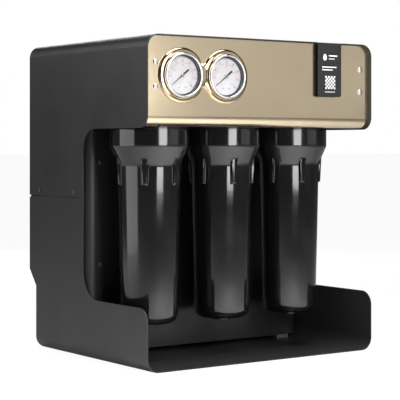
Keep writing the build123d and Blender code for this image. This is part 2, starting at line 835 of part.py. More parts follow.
def tubes():
    """Every internal tube by name, from socket to socket."""
    into = port_face_y() + 18 - socket_depth + 0.5
    rise = port_height + 28 - socket_depth + 0.5
    back = inner_port_y
    x1, x2, x3 = bowl_xs
    suction_y, pressure_y = pump_port_ys()
    pump_top = pump_height + pump_radius + 18 - socket_depth + 0.5
    turn_y = into + 60
    drain_z = port_z - drain_port_drop
    sense_y = into + 52
    sense_z = gauge_z + 40
    routes = {
        "tube_feed": [(feed_x, back, rise), (feed_x, back, valve_z - 20 + socket_depth - 0.5)],
        "tube_raw": [(feed_x, back, valve_z + 20 - socket_depth + 0.5), (feed_x, back, port_z),
                     (feed_x, into, port_z)],
        "tube_suction": [(x1 + port_offset, into, port_z), (x1 + port_offset, turn_y, port_z),
                         (pump_port_x, suction_y, port_z - 130), (pump_port_x, suction_y, pump_top)],
        "tube_pressure": [(pump_port_x, pressure_y, pump_top), (pump_port_x, pressure_y, port_z - 60),
                          (x2 - port_offset, turn_y + 10, port_z), (x2 - port_offset, into, port_z)],
        "tube_permeate": [(x2 + port_offset, into, port_z), (x2 + port_offset, into + 50, port_z),
                          (x3 - port_offset, into + 50, port_z), (x3 - port_offset, into, port_z)],
        "tube_product": [(x3 + port_offset, into, port_z), (x3 + port_offset, turn_y + 35, port_z),
                         (product_port_x, back, port_z - 170), (product_port_x, back, rise)],
        "tube_drain": [(x2, into, drain_z), (x2, into + 36, drain_z),
                       (drain_port_x, back, drain_z - 104), (drain_port_x, back, rise)],
    }
    parts = {name: tube(route, tube_radius, tube_wall) for name, route in routes.items()}
    goals = ((x1, port_z), (x2, port_z + sense_port_lift))
    for name, x, (goal_x, goal_z) in zip(gauge_names, gauge_xs, goals):
        start = gauge_z + 20 - socket_depth + 0.5
        route = [(x, gauge_elbow_y(), start), (x, gauge_elbow_y(), sense_z),
                 (goal_x, sense_y, sense_z), (goal_x, sense_y, goal_z), (goal_x, into, goal_z)]
        parts["tube_gauge_" + name] = tube(route, sense_tube_radius, sense_tube_wall)
    return parts


def pump_motor():
    """A closed motor case with a bearing at each end."""
    a, b = pump_start, pump_join
    case = rod(motor_radius, (a, pump_y, pump_height), (b, pump_y, pump_height))
    case -= rod(motor_radius - motor_wall, (a + 5, pump_y, pump_height), (b - 5, pump_y, pump_height))
    case += rod(12, (a - 4, pump_y, pump_height), (a + 1, pump_y, pump_height))
    return case - rod(shaft_radius + shaft_gap, (a + 0.5, pump_y, pump_height), (b + 1, pump_y, pump_height))


def pump_rotor():
    """The shaft with its armature, commutator and cooling fan."""
    a, b = pump_start, pump_join
    rotor = rod(shaft_radius, (a + 1, pump_y, pump_height), (b + 12, pump_y, pump_height))
    rotor += rod(armature_radius, (a + 30, pump_y, pump_height), (b - 26, pump_y, pump_height))
    rotor += rod(11, (a + 12, pump_y, pump_height), (a + 24, pump_y, pump_height))
    rotor += rod(9, (b - 16, pump_y, pump_height), (b - 9, pump_y, pump_height))
    blade = block((b - 16, b - 9), (-1, 1), (8, motor_radius - motor_wall - 3))
    for turn in range(6):
        rotor += Pos(0, pump_y, pump_height) * Rot(turn * 60, 0, 0) * blade
    return rotor


def pump_head():
    """The pumping chamber with both ports on top."""
    a, b = pump_join + 0.1, pump_join + pump_length
    head = rod(pump_radius, (a, pump_y, pump_height), (b, pump_y, pump_height))
    head = fillet(head.edges().filter_by(GeomType.CIRCLE), 2)
    top = pump_height + pump_radius
    lo, hi = pump_port_ys()
    head += block((pump_port_x - 12, pump_port_x + 12), (lo - 12, hi + 12), (pump_height, top))
    for y in (lo, hi):
        head -= rod(fitting_radius - 1.9, (pump_port_x, y, top - 9), (pump_port_x, y, top + 1))
    return head - rod(shaft_radius + shaft_gap, (a - 1, pump_y, pump_height), (a + 14, pump_y, pump_height))


def rubber_mount_places():
    return [(pump_start + 20 + dx, pump_y + dy) for dx in (0, 60) for dy in (-36, 36)]


def pump_bracket():
    """A plate on four rubber mounts with a saddle under the motor."""
    low = sheet + rubber_mount_height
    left, right = pump_start + 4, pump_start + 96
    plate = block((left, right), (pump_y - 48, pump_y + 48), (low, low + frame_sheet))
    saddle = block((left + 12, right - 12), (pump_y - 22, pump_y + 22), (low, pump_height - 18))
    saddle -= rod(motor_radius + 0.1, (left, pump_y, pump_height), (right, pump_y, pump_height))
    saddle -= block((left + 16, right - 16), (pump_y - 19, pump_y + 19), (low + frame_sheet, pump_height))
    bracket = plate + saddle
    for x, y in rubber_mount_places():
        bracket -= rod(4.2, (x, y, low - 1), (x, y, low + 5))
    return bracket


def pump_mounts():
    mounts = Part()
    for x, y in rubber_mount_places():
        mounts += rod(rubber_mount_radius, (x, y, sheet), (x, y, sheet + rubber_mount_height))
        mounts += rod(4.0, (x, y, sheet + rubber_mount_height), (x, y, sheet + rubber_mount_height + 5))
    return mounts


def inlet_valve():
    """A solenoid valve in the feed line, with its coil at one side."""
    x, y, z = feed_x, inner_port_y, valve_z
    valve = block((x - 14, x + 14), (y - 14, y + 14), (z - 11, z + 11))
    valve += rod(fitting_radius, (x, y, z - 20), (x, y, z + 20))
    valve += rod(5, (x, y - 13, z), (x, y - 60, z))
    valve += block((x - 17, x + 17), (y - 54, y - 16), (z - 15, z + 15))
    for side in (-1, 1):
        socket = (x, y, z + side * (20 - socket_depth))
        valve -= rod(tube_radius + socket_gap, socket, (x, y, z + side * 21))
    return valve


def pressure_switch():
    """A low-pressure switch on a tee round the raw water tube."""
    x, y, z = feed_x, inner_port_y, valve_z + 110
    switch = block((x - 11, x + 11), (y - 11, y + 11), (z - 14, z + 14))
    switch += rod(7, (x, y - 10, z), (x, y - 20, z)) + rod(15, (x, y - 20, z), (x, y - 42, z))
    for side in (-1, 1):
        switch += block((x + side * 6 - 3, x + side * 6 + 3), (y - 50, y - 41), (z - 0.4, z + 0.4))
    return switch - rod(tube_radius + socket_gap, (x, y, z - 15), (x, y, z + 15))


def flow_restrictor():
    x, y, z = drain_port_x, inner_port_y, valve_z
    body = rod(8, (x, y, z), (x, y, z + 40)) + rod(10, (x, y, z + 12), (x, y, z + 28))
    return body - rod(tube_radius + socket_gap, (x, y, z - 1), (x, y, z + 41))


def power_supply():
    """A metal box with a row of terminals along one edge, on four feet."""
    long, deep, tall = supply_size
    front = recess_y + upright_depth + 6
    base = sheet + 3
    left = supply_x - long / 2
    supply = block((left, left + long), (front, front + deep), (base, base + tall))
    supply -= block((left - 1, left + 14), (front + 4, front + deep - 4), (base + 12, base + tall + 1))
    for row in range(5):
        y = front + 12 + row * 14
        supply += block((left + 1, left + 13), (y, y + 10), (base + 11, base + 20))
    for dx in (12, long - 12):
        for dy in (12, deep - 12):
            supply += rod(4, (left + dx, front + dy, sheet), (left + dx, front + dy, base + 1))
    return supply


def port_xs():
    return (feed_x, drain_port_x, product_port_x)


def rear_ports():
    """Bulkhead elbows through the rear cover, push-in at both ends."""
    ports = Part()
    y = lower_cover_y
    end = y + 17
    for x in port_xs():
        z = port_height
        port = rod(bulkhead_radius, (x, inner_port_y, z), (x, y, z))
        port += hex_rod(13, (x, y + 0.1, z), (x, y + 5, z)) + rod(9.8, (x, y + 4, z), (x, end, z))
        port += rod(bulkhead_radius, (x, y - 1, z), (x, y + 1, z))
        port += hex_rod(13, (x, y - sheet - 7, z), (x, y - sheet - 0.1, z))
        port += rod(fitting_radius, (x, inner_port_y, z - fitting_radius), (x, inner_port_y, z + 28))
        port -= rod(3.2, (x, inner_port_y, z), (x, end + 1, z))
        port -= rod(3.2, (x, inner_port_y, z), (x, inner_port_y, z + 20))
        port -= rod(tube_radius + socket_gap, (x, inner_port_y, z + 28 - socket_depth),
                    (x, inner_port_y, z + 29))
        port -= rod(tube_radius + socket_gap, (x, y - 3, z), (x, end + 1, z))
        port -= rod(collet_radius + collet_gap, (x, end - 14, z), (x, end + 1, z))
        ports += port
    return ports


def collet(x):
    """The sleeve that grips a tube and lets it go when pushed in."""
    z = port_height
    end = lower_cover_y + 17 + collet_travel + 0.3
    start = lower_cover_y + 3 + collet_travel + 0.5
    sleeve = rod(collet_radius, (x, start, z), (x, end, z)) + rod(8.7, (x, end, z), (x, end + collet_lip, z))
    return sleeve - rod(tube_radius + socket_gap, (x, start - 1, z), (x, end + collet_lip + 1, z))


def rocker_pivot():
    return (mains_x + rocker_spacing - 3, lower_cover_y + 0.5, mains_height)


def mains_inlet():
    """One housing with a three-pin inlet and the opening for the rocker."""
    y = lower_cover_y
    left, right = mains_x - 17, mains_x + rocker_spacing + 11
    z = mains_height
    flange = along_y(Pos((left + right) / 2, z) * RectangleRounded(right - left, 28, 3), y + 0.1, y + 3)
    housing = flange + block((mains_x - 14, mains_x + rocker_spacing + 8), (y - 26, y + 0.2), (z - 11, z + 11))
    housing -= block((mains_x - 12.2, mains_x + 12.2), (y - 15, y + 4), (z - 8.2, z + 8.2))
    px, py, pz = rocker_pivot()
    housing -= block((px - 6.9, px + 6.9), (y - 12, y + 4), (z - 10.3, z + 10.3))
    for dx, dz in ((-7, -2), (7, -2), (0, 2)):
        housing += block((mains_x + dx - 1, mains_x + dx + 1), (y - 16, y), (z + dz - 2, z + dz + 2))
        housing += block((mains_x + dx - 3.2, mains_x + dx + 3.2), (y - 34, y - 25),
                         (z + dz * 2 - 0.4, z + dz * 2 + 0.4))
    return housing - rod(1.06, (px - 7.9, py, pz), (px + 7.9, py, pz))


def rocker_switch():
    """The rocker with its two pivots, tilted to its off side."""
    px, py, pz = rocker_pivot()
    section = outline([(-3, -8.5, 1), (4.2, -8.5, 1), (3.0, 0, 0), (4.2, 8.5, 1), (-3, 8.5, 1)])
    rocker = along_x(section, -6.5, 6.5) + rod(1.0, (-7.7, 0, 0), (7.7, 0, 0))
    return Pos(px, py, pz) * Rot(-rocker_tilt, 0, 0) * rocker


def fascia_screws():
    screws = Part()
    for point in fascia_screw_points():
        screws += dome_screw(point, (0, -1, 0))
    return screws


def cabinet_screws():
    """The screws of the seam, the recess panel and the rear cover."""
    screws = Part()
    for point in seam_screw_points():
        screws += dome_screw(point, (math.copysign(1, point[0]), 0, 0))
    for point in recess_screw_points():
        screws += dome_screw(point, (0, -1, 0))
    for point in rear_screw_points():
        screws += dome_screw(point, (0, 1, 0))
    return screws


def head_screws():
    """Socket screws that hang the heads from the frame's shelf."""
    screws = Part()
    top = bracket_z + bracket_sheet
    for x, y in head_screw_places():
        screw = rod(head_screw_radius, (x, y, bracket_z - 12), (x, y, top)) + rod(5, (x, y, top), (x, y, top + 6))
        screws += screw - Pos(x, y, top + 3) * extrude(RegularPolygon(2.9, 6), amount=4)
    return screws


nodes = {
    "upper_shell": upper_shell(),
    "lower_shell": lower_shell(),
    "seam_straps": seam_straps(),
    "front_fascia": front_fascia(),
    "header_floor": header_floor(),
    "recess_panel": recess_panel(),
    "inner_frame": inner_frame(),
    "rear_cover": rear_cover(),
    "fascia_screws": fascia_screws(),
    "cabinet_screws": cabinet_screws(),
    "head_screws": head_screws(),
    "gauge_trim": gauge_trim(),
    "gauge_clamps": gauge_clamps(),
    "push_fittings": push_fittings(),
    "pump_motor": pump_motor(),
    "pump_rotor": pump_rotor(),
    "pump_head": pump_head(),
    "pump_bracket": pump_bracket(),
    "pump_mounts": pump_mounts(),
    "inlet_valve": inlet_valve(),
    "pressure_switch": pressure_switch(),
    "flow_restrictor": flow_restrictor(),
    "power_supply": power_supply(),
    "rear_ports": rear_ports(),
    "mains_inlet": mains_inlet(),
    "rocker_switch": rocker_switch(),
}
for name, x in zip(gauge_names, gauge_xs):
    nodes["gauge_case_" + name] = gauge_case(x)
    nodes["gauge_bezel_" + name] = gauge_bezel(x)
    nodes["gauge_lens_" + name] = gauge_lens(x)
    nodes["gauge_dial_" + name] = gauge_dial(x)
    nodes["gauge_pointer_" + name] = gauge_pointer(x)
for name, x, turn in zip(housing_names, bowl_xs, rib_turns):
    nodes["head_" + name] = filter_head(x)
    nodes["bowl_" + name] = bowl(x, turn)
    nodes["seal_" + name] = bowl_seal(x)
    nodes["element_" + name] = filter_element(x)
for name, x in zip(("feed", "drain", "product"), port_xs()):
    nodes["collet_" + name] = collet(x)
nodes.update(tubes())

for name, shape in nodes.items():
    export_step(shape, "parts/" + name + ".step")
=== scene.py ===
import json
import math

import bmesh
import bpy
import numpy as np
from mathutils import Matrix, Vector


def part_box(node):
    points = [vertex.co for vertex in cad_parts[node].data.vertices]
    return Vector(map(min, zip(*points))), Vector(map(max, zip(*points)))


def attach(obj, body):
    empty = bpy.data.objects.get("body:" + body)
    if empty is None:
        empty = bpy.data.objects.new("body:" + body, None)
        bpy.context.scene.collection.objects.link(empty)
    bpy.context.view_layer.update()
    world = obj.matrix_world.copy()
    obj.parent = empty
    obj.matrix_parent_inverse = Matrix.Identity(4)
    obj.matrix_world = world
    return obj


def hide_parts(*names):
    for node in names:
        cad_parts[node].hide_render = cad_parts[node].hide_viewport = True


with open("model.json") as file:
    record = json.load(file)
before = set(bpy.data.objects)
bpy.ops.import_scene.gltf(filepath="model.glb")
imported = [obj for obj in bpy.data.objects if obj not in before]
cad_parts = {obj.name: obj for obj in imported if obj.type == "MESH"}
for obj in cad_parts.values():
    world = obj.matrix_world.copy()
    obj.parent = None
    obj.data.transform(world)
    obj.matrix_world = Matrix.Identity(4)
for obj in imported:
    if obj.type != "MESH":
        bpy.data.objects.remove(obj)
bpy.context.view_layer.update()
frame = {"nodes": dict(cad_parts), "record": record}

nodes = frame["nodes"]
bodyOf = {node: body for body, group in frame["record"]["behaviour"]["bodies"].items() for node in group}
slotOf = {part["node"]: part["material_slot"] for part in frame["record"]["subparts"]}
mm = 0.001
print("frame loaded:", len(nodes), "nodes")


# Small tools for making meshes

def meshObject(name, points, faces, material, smooth=40):
    mesh = bpy.data.meshes.new(name)
    mesh.from_pydata([tuple(p) for p in points], [], faces)
    mesh.materials.append(material)
    piece = bpy.data.objects.new(name, mesh)
    bpy.context.scene.collection.objects.link(piece)
    shadeByAngle(mesh, smooth)
    return piece


def shadeByAngle(mesh, degrees):
    for face in mesh.polygons:
        face.use_smooth = True
    mesh.set_sharp_from_angle(angle=math.radians(degrees))


def faceOutwards(mesh):
    work = bmesh.new()
    work.from_mesh(mesh)
    bmesh.ops.remove_doubles(work, verts=work.verts, dist=1e-6)
    bmesh.ops.recalc_face_normals(work, faces=work.faces)
    work.to_mesh(mesh)
    work.free()


def settle(piece):
    # turn a piece with modifiers into a plain mesh of the same name
    graph = bpy.context.evaluated_depsgraph_get()
    plain = bpy.data.meshes.new_from_object(piece.evaluated_get(graph))
    piece.modifiers.clear()
    old = piece.data
    piece.data = plain
    name = old.name
    bpy.data.meshes.remove(old)
    plain.name = name
    return piece


def place(piece, body, slot, *stoodFor):
    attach(piece, body)
    if stoodFor:
        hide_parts(*stoodFor)
    return piece


def arc(centre, radius, start, end, steps):
    # points on a circle, angles in degrees
    angles = [math.radians(start + (end - start) * k / steps) for k in range(steps + 1)]
    return [(centre[0] + radius * math.cos(a), centre[1] + radius * math.sin(a)) for a in angles]


def spun(name, profile, centre, material, axis="Z", segments=96, smooth=35):
    # a closed profile of (radius, distance along the axis), in mm, turned about an axis through centre
    rings = []
    points = []
    for radius, along in [(r * mm, a * mm) for r, a in profile]:
        if radius < 1e-7:
            rings.append([len(points)])
            points.append(spunPoint(centre, axis, 0, 0, along))
            continue
        rings.append(list(range(len(points), len(points) + segments)))
        for k in range(segments):
            points.append(spunPoint(centre, axis, radius, 2 * math.pi * k / segments, along))
    faces = []
    closed = profile[0][0] > 1e-7 and profile[-1][0] > 1e-7
    pairs = list(zip(rings, rings[1:])) + ([(rings[-1], rings[0])] if closed else [])
    for a, b in pairs:
        faces += stripFaces(a, b, segments)
    piece = meshObject(name, points, faces, material, smooth)
    faceOutwards(piece.data)
    shadeByAngle(piece.data, smooth)
    return piece


def stripFaces(a, b, segments):
    faces = []
    for k in range(segments):
        n = (k + 1) % segments
        corners = [a[k % len(a)], a[n % len(a)], b[n % len(b)], b[k % len(b)]]
        kept = [c for i, c in enumerate(corners) if c not in corners[:i]]
        if len(kept) > 2:
            faces.append(kept)
    return faces


def spunPoint(centre, axis, radius, angle, along):
    u, v = radius * math.cos(angle), radius * math.sin(angle)
    if axis == "Z":
        return (centre[0] + u, centre[1] + v, centre[2] + along)
    return (centre[0] + u, centre[1] - along, centre[2] + v)  # faces the front: along counts forwards


# Shader effects shared by several finishes

def shaderGroup(name, inputs, outputs):
    tree = bpy.data.node_groups.new(name, "ShaderNodeTree")
    for label, value in inputs:
        kind = "NodeSocketVector" if value is None else "NodeSocketFloat"
        socket = tree.interface.new_socket(label, in_out="INPUT", socket_type=kind)
        if value is not None:
            socket.default_value = value
    for label in outputs:
        tree.interface.new_socket(label, in_out="OUTPUT", socket_type="NodeSocketFloat")
    return tree, tree.nodes.new("NodeGroupInput"), tree.nodes.new("NodeGroupOutput")


def noiseIn(tree, vector, scale, detail=3.0, roughness=0.55):
    noise = tree.nodes.new("ShaderNodeTexNoise")
    noise.inputs["Detail"].default_value = detail
    noise.inputs["Roughness"].default_value = roughness
    tree.links.new(vector, noise.inputs["Vector"])
    tree.links.new(scale, noise.inputs["Scale"])
    return noise.outputs["Fac"]


def mapped(tree, value, low, high, toLow, toHigh):
    ramp = tree.nodes.new("ShaderNodeMapRange")
    for label, given in (("Value", value), ("From Min", low), ("From Max", high),
                         ("To Min", toLow), ("To Max", toHigh)):
        if hasattr(given, "links"):
            tree.links.new(given, ramp.inputs[label])
        else:
            ramp.inputs[label].default_value = given
    return ramp.outputs["Result"]


def grainGroup():
    # a fine even texture, such as orange peel in paint or the skin of a moulding
    tree, into, out = shaderGroup("fineGrain", [("Vector", None), ("Scale", 900.0)], ["Height"])
    fine = noiseIn(tree, into.outputs["Vector"], into.outputs["Scale"])
    half = tree.nodes.new("ShaderNodeMath")
    half.operation = "MULTIPLY"
    half.inputs[1].default_value = 0.23
    tree.links.new(into.outputs["Scale"], half.inputs[0])
    coarse = noiseIn(tree, into.outputs["Vector"], half.outputs["Value"], 2.0)
    blend = tree.nodes.new("ShaderNodeMix")
    blend.inputs["Factor"].default_value = 0.35
    tree.links.new(fine, blend.inputs["A"])
    tree.links.new(coarse, blend.inputs["B"])
    tree.links.new(blend.outputs["Result"], out.inputs["Height"])
    return tree


def smudgeGroup():
    # broad soft patches, as hands and cloths leave on a finish
    tree, into, out = shaderGroup("smudges", [("Vector", None), ("Scale", 14.0), ("Low", 0.2), ("High", 0.3)],
                                  ["Value", "Mask"])
    patches = noiseIn(tree, into.outputs["Vector"], into.outputs["Scale"], 4.0, 0.6)
    mask = mapped(tree, patches, 0.38, 0.66, 0.0, 1.0)
    tree.links.new(mask, out.inputs["Mask"])
    value = mapped(tree, mask, 0.0, 1.0, into.outputs["Low"], into.outputs["High"])
    tree.links.new(value, out.inputs["Value"])
    return tree


def brushedGroup():
    # fine lines drawn along one direction, set by stretching the coordinates
    tree, into, out = shaderGroup("brushedLines", [("Vector", None), ("Scale", 60.0), ("Stretch", 40.0)],
                                  ["Height"])
    split = tree.nodes.new("ShaderNodeSeparateXYZ")
    joined = tree.nodes.new("ShaderNodeCombineXYZ")
    tree.links.new(into.outputs["Vector"], split.inputs["Vector"])
    for axis in ("Y", "Z"):
        times = tree.nodes.new("ShaderNodeMath")
        times.operation = "MULTIPLY"
        tree.links.new(split.outputs[axis], times.inputs[0])
        tree.links.new(into.outputs["Stretch"], times.inputs[1])
        tree.links.new(times.outputs["Value"], joined.inputs[axis])
    tree.links.new(split.outputs["X"], joined.inputs["X"])
    tree.links.new(noiseIn(tree, joined.outputs["Vector"], into.outputs["Scale"], 2.0), out.inputs["Height"])
    return tree


def dustGroup():
    # a little dust on what faces up
    tree, into, out = shaderGroup("settledDust", [("Vector", None), ("Normal", None), ("Amount", 0.1)],
                                  ["Mask"])
    split = tree.nodes.new("ShaderNodeSeparateXYZ")
    tree.links.new(into.outputs["Normal"], split.inputs["Vector"])
    up = mapped(tree, split.outputs["Z"], 0.6, 1.0, 0.0, 1.0)
    scale = tree.nodes.new("ShaderNodeValue")
    scale.outputs["Value"].default_value = 260.0
    cloud = noiseIn(tree, into.outputs["Vector"], scale.outputs["Value"], 6.0, 0.7)
    specks = mapped(tree, cloud, 0.5, 0.72, 0.0, 1.0)
    product = tree.nodes.new("ShaderNodeMath")
    product.operation = "MULTIPLY"
    tree.links.new(up, product.inputs[0])
    tree.links.new(specks, product.inputs[1])
    scaled = tree.nodes.new("ShaderNodeMath")
    scaled.operation = "MULTIPLY"
    tree.links.new(product.outputs["Value"], scaled.inputs[0])
    tree.links.new(into.outputs["Amount"], scaled.inputs[1])
    tree.links.new(scaled.outputs["Value"], out.inputs["Mask"])
    return tree


groups = {"grain": grainGroup(), "smudge": smudgeGroup(), "brushed": brushedGroup(), "dust": dustGroup()}


def finish(name, colour, otherColour=None, metallic=0.0, roughness=(0.4, 0.5), smudgeScale=14.0,
           grain=(900.0, 0.05), brushed=None, coat=0.0, dust=0.0, alpha=1.0, specular=0.5):
    # one material; colours are sRGB from 0 to 255, roughness is its lowest and highest value
    material = bpy.data.materials.new(name)
    material.use_nodes = True
    tree = material.node_tree
    shader = tree.nodes["Principled BSDF"]
    shader.inputs["Metallic"].default_value = metallic
    shader.inputs["Coat Weight"].default_value = coat
    shader.inputs["Coat Roughness"].default_value = 0.04
    shader.inputs["Specular IOR Level"].default_value = specular
    shader.inputs["Alpha"].default_value = alpha
    where = tree.nodes.new("ShaderNodeTexCoord").outputs["Object"]

    def use(group, **values):
        node = tree.nodes.new("ShaderNodeGroup")
        node.node_tree = groups[group]
        tree.links.new(where, node.inputs["Vector"])
        for label, value in values.items():
            node.inputs[label].default_value = value
        return node

    fine = use("grain", Scale=grain[0])
    smudge = use("smudge", Scale=smudgeScale, Low=roughness[0], High=roughness[1])
    tree.links.new(smudge.outputs["Value"], shader.inputs["Roughness"])
    mix = tree.nodes.new("ShaderNodeMix")
    mix.data_type = "RGBA"
    mix.inputs["A"].default_value = linear(colour)
    mix.inputs["B"].default_value = linear(otherColour or [c * 0.9 for c in colour])
    tree.links.new(smudge.outputs["Mask"], mix.inputs["Factor"])
    tone = mix.outputs["Result"]
    if dust:
        settled = use("dust", Amount=dust)
        tree.links.new(tree.nodes.new("ShaderNodeNewGeometry").outputs["Normal"], settled.inputs["Normal"])
        dusty = tree.nodes.new("ShaderNodeMix")
        dusty.data_type = "RGBA"
        dusty.inputs["B"].default_value = linear((150, 148, 143))
        tree.links.new(settled.outputs["Mask"], dusty.inputs["Factor"])
        tree.links.new(tone, dusty.inputs["A"])
        tone = dusty.outputs["Result"]
    tree.links.new(tone, shader.inputs["Base Color"])
    bump = tree.nodes.new("ShaderNodeBump")
    bump.inputs["Strength"].default_value = grain[1]
    bump.inputs["Distance"].default_value = 0.0004
    height = fine.outputs["Height"]
    if brushed:
        lines = use("brushed", Scale=brushed[0], Stretch=brushed[1])
        height = lines.outputs["Height"]
    tree.links.new(height, bump.inputs["Height"])
    tree.links.new(bump.outputs["Normal"], shader.inputs["Normal"])
    return material


def linear(colour):
    values = [c / 255 for c in colour[:3]]
    return [v / 12.92 if v <= 0.04045 else ((v + 0.055) / 1.055) ** 2.4 for v in values] + [1.0]


finishes = {
    "black_shell": finish("satinPowderCoat", (30, 30, 31), (26, 26, 27),
                          roughness=(0.36, 0.44), grain=(1100, 0.22),
                          dust=0.05),
    "galvanised": finish("zincPlate", (168, 170, 172), (140, 143, 146), 1.0, (0.32, 0.5), 60, (500, 0.1)),
    "gold_sheet": finish("champagneSheet", (206, 190, 162), (200, 184, 156),
                         1.0, (0.2, 0.27), 9, (700, 0.02)),
    "gold_trim": finish("polishedGoldTrim", (203, 184, 152), (190, 170, 138),
                        1.0, (0.06, 0.12), 40, (500, 0.02)),
    "bright_screw": finish("brightScrew", (214, 212, 206), (196, 194, 188),
                           1.0, (0.1, 0.2), 200, (900, 0.05)),
    "dark_screw": finish("darkScrew", (74, 74, 75), (60, 60, 61), 0.6, (0.3, 0.45), 200, (900, 0.1)),
    "fitting_plastic": finish("whiteFitting", (226, 227, 228), (214, 216, 218),
                              0.0, (0.35, 0.5), 60, (700, 0.1)),
    "motor_paint": finish("motorPaint", (38, 38, 40), (48, 47, 47), 0.0, (0.35, 0.55), 40, (700, 0.25)),
    "pump_plastic": finish("pumpMoulding", (30, 30, 31), (40, 40, 40), 0.0, (0.45, 0.6), 50, (1200, 0.3)),
    "rubber": finish("mountRubber", (26, 26, 26), (36, 35, 34), 0.0, (0.7, 0.85), 60, (1500, 0.3)),
    "supply_metal": finish("supplyCase", (178, 180, 182), (160, 162, 164),
                           1.0, (0.35, 0.48), 30, (600, 0.1),
                           brushed=(40.0, 30.0)),
    "black_plastic": finish("blackMoulding", (22, 22, 23), (28, 28, 29),
                            0.0, (0.42, 0.55), 50, (1400, 0.35)),
    "rocker_plastic": finish("rockerGloss", (18, 18, 19), (24, 24, 25), 0.0, (0.14, 0.22), 80, (900, 0.05)),
    "chrome_bezel": finish("bezelChrome", (228, 229, 232), (214, 216, 220),
                           1.0, (0.04, 0.09), 60, (600, 0.01)),
    "gauge_black": finish("gaugeCasePaint", (20, 20, 21), (26, 26, 27), 0.0, (0.3, 0.42), 60, (900, 0.1)),
    "gauge_glass": finish("gaugeGlass", (24, 27, 29), (30, 33, 34),
                          0.0, (0.02, 0.05), 30, (300, 0.0), alpha=0.05),
    "gauge_dial": finish("dialEnamel", (196, 195, 197), (191, 190, 192), 0.0, (0.42, 0.5), 40, (900, 0.03)),
    "gauge_needle": finish("needleBlack", (16, 16, 16), (22, 22, 22), 0.0, (0.35, 0.45), 200, (900, 0.05)),
    "bowl_black": finish("glossBowl", (13, 13, 14), (16, 16, 17),
                         0.0, (0.1, 0.17), 22, (420, 0.035), coat=0.35),
    "head_black": finish("headMoulding", (24, 24, 25), (30, 30, 31), 0.0, (0.42, 0.55), 40, (1300, 0.3)),
    "seal_rubber": finish("sealRubber", (20, 20, 20), (28, 27, 27), 0.0, (0.5, 0.65), 90, (900, 0.1)),
    "element_white": finish("spunElement", (228, 226, 220), (212, 209, 200),
                            0.0, (0.75, 0.9), 60, (260, 0.9)),
    "collet_grey": finish("colletGrey", (96, 98, 101), (84, 86, 89), 0.0, (0.25, 0.35), 90, (900, 0.05)),
    "tube_white": finish("tubeWall", (228, 230, 233), (216, 219, 223),
                         0.0, (0.25, 0.35), 40, (500, 0.05), coat=0.2),
}
blackInk = finish("blackInk", (20, 20, 22), (28, 28, 30), 0.0, (0.5, 0.6), 300, (900, 0.02))
redInk = finish("redInk", (196, 92, 96), (206, 110, 112), 0.0, (0.5, 0.6), 300, (900, 0.02))
whiteInk = finish("whiteInk", (226, 228, 230), (214, 216, 219), 0.0, (0.45, 0.55), 200, (900, 0.02))
hubGrey = finish("hubGrey", (150, 151, 154), (128, 129, 132), 1.0, (0.25, 0.35), 200, (900, 0.05))
for node, piece in nodes.items():
    piece.data.materials.clear()
    piece.data.materials.append(finishes[slotOf[node]])
print("finishes made:", len(bpy.data.materials))


# Sheet metal and moulded CAD parts, with their edges eased

def easedCopy(node, name, edge, smooth=32, steps=2):
    # the same shape with merged corners, easier edges and smooth bends
    mesh = nodes[node].data.copy()
    mesh.name = name
    work = bmesh.new()
    work.from_mesh(mesh)
    bmesh.ops.remove_doubles(work, verts=work.verts, dist=2e-6)
    bmesh.ops.dissolve_limit(work, angle_limit=math.radians(0.5), verts=work.verts, edges=work.edges)
    work.to_mesh(mesh)
    work.free()
    piece = bpy.data.objects.new(name, mesh)
    bpy.context.scene.collection.objects.link(piece)
    bevel = piece.modifiers.new("easedEdges", "BEVEL")
    bevel.width = edge
    bevel.segments = steps
    bevel.limit_method = "ANGLE"
    bevel.angle_limit = math.radians(smooth + 8)
    bevel.use_clamp_overlap = True
    settle(piece)
    shadeByAngle(piece.data, smooth)
    weigh = piece.modifiers.new("flatFacesFirst", "WEIGHTED_NORMAL")
    weigh.keep_sharp = True
    settle(piece)
    return place(piece, bodyOf[node], slotOf[node], node)


# what each eased copy is called and how far its edges are eased, in mm
easedParts = {
    "upper_shell": ("upperShell", 0.35), "lower_shell": ("lowerShell", 0.35),
    "front_fascia": ("frontFascia", 0.3), "recess_panel": ("recessPanel", 0.3),
    "header_floor": ("headerFloor", 0.3), "rear_cover": ("rearCover", 0.3),
    "inner_frame": ("innerFrame", 0.3), "seam_straps": ("seamStraps", 0.3), "rear_ports": ("rearPorts", 0.35),
    "mains_inlet": ("mainsInlet", 0.35), "rocker_switch": ("rockerSwitch", 0.4),
    "collet_feed": ("colletFeed", 0.35), "collet_drain": ("colletDrain", 0.35),
    "collet_product": ("colletProduct", 0.35),
}
for node, (name, edge) in easedParts.items():
    easedCopy(node, name, edge * mm)
print("sheet parts eased:", len(easedParts))


# Filter bowls

# sizes in mm; drops are measured down from the bowl's top, "turns" are degrees about its axis
bowlShape = {
    "collarDrop": 39.0, "coneDrop": 66.0, "bodyTop": 50.0, "bodyBottom": 45.0, "bottomRound": 15.0,
    "foot": (15.0, 4.0), "footRound": 1.2, "wall": 4.0, "bore": 56.0, "ledgeDrop": 21.5,
    "spigot": (10.5, 9.0),
    "bodyEase": 4, "coneEase": (3.2, 6), "collarEase": (2.2, 4.2), "lipRound": 1.5, "lead": 0.8,
    "groove": {"outer": 7.2, "inner": 3.0, "deep": 2.4}, "thread": {"pitch": 4, "deep": 0.9},
    "ribCount": 6, "ribWidth": 10.7, "ribFoot": 8.6, "ribTop": 56.5, "ribBottom": 98.5,
    "ribReach": (54.6, 52.6), "ribEase": 1.3,
    "turns": {"prefilter": 48.6, "membrane": 16.6, "postfilter": 16.6},
}


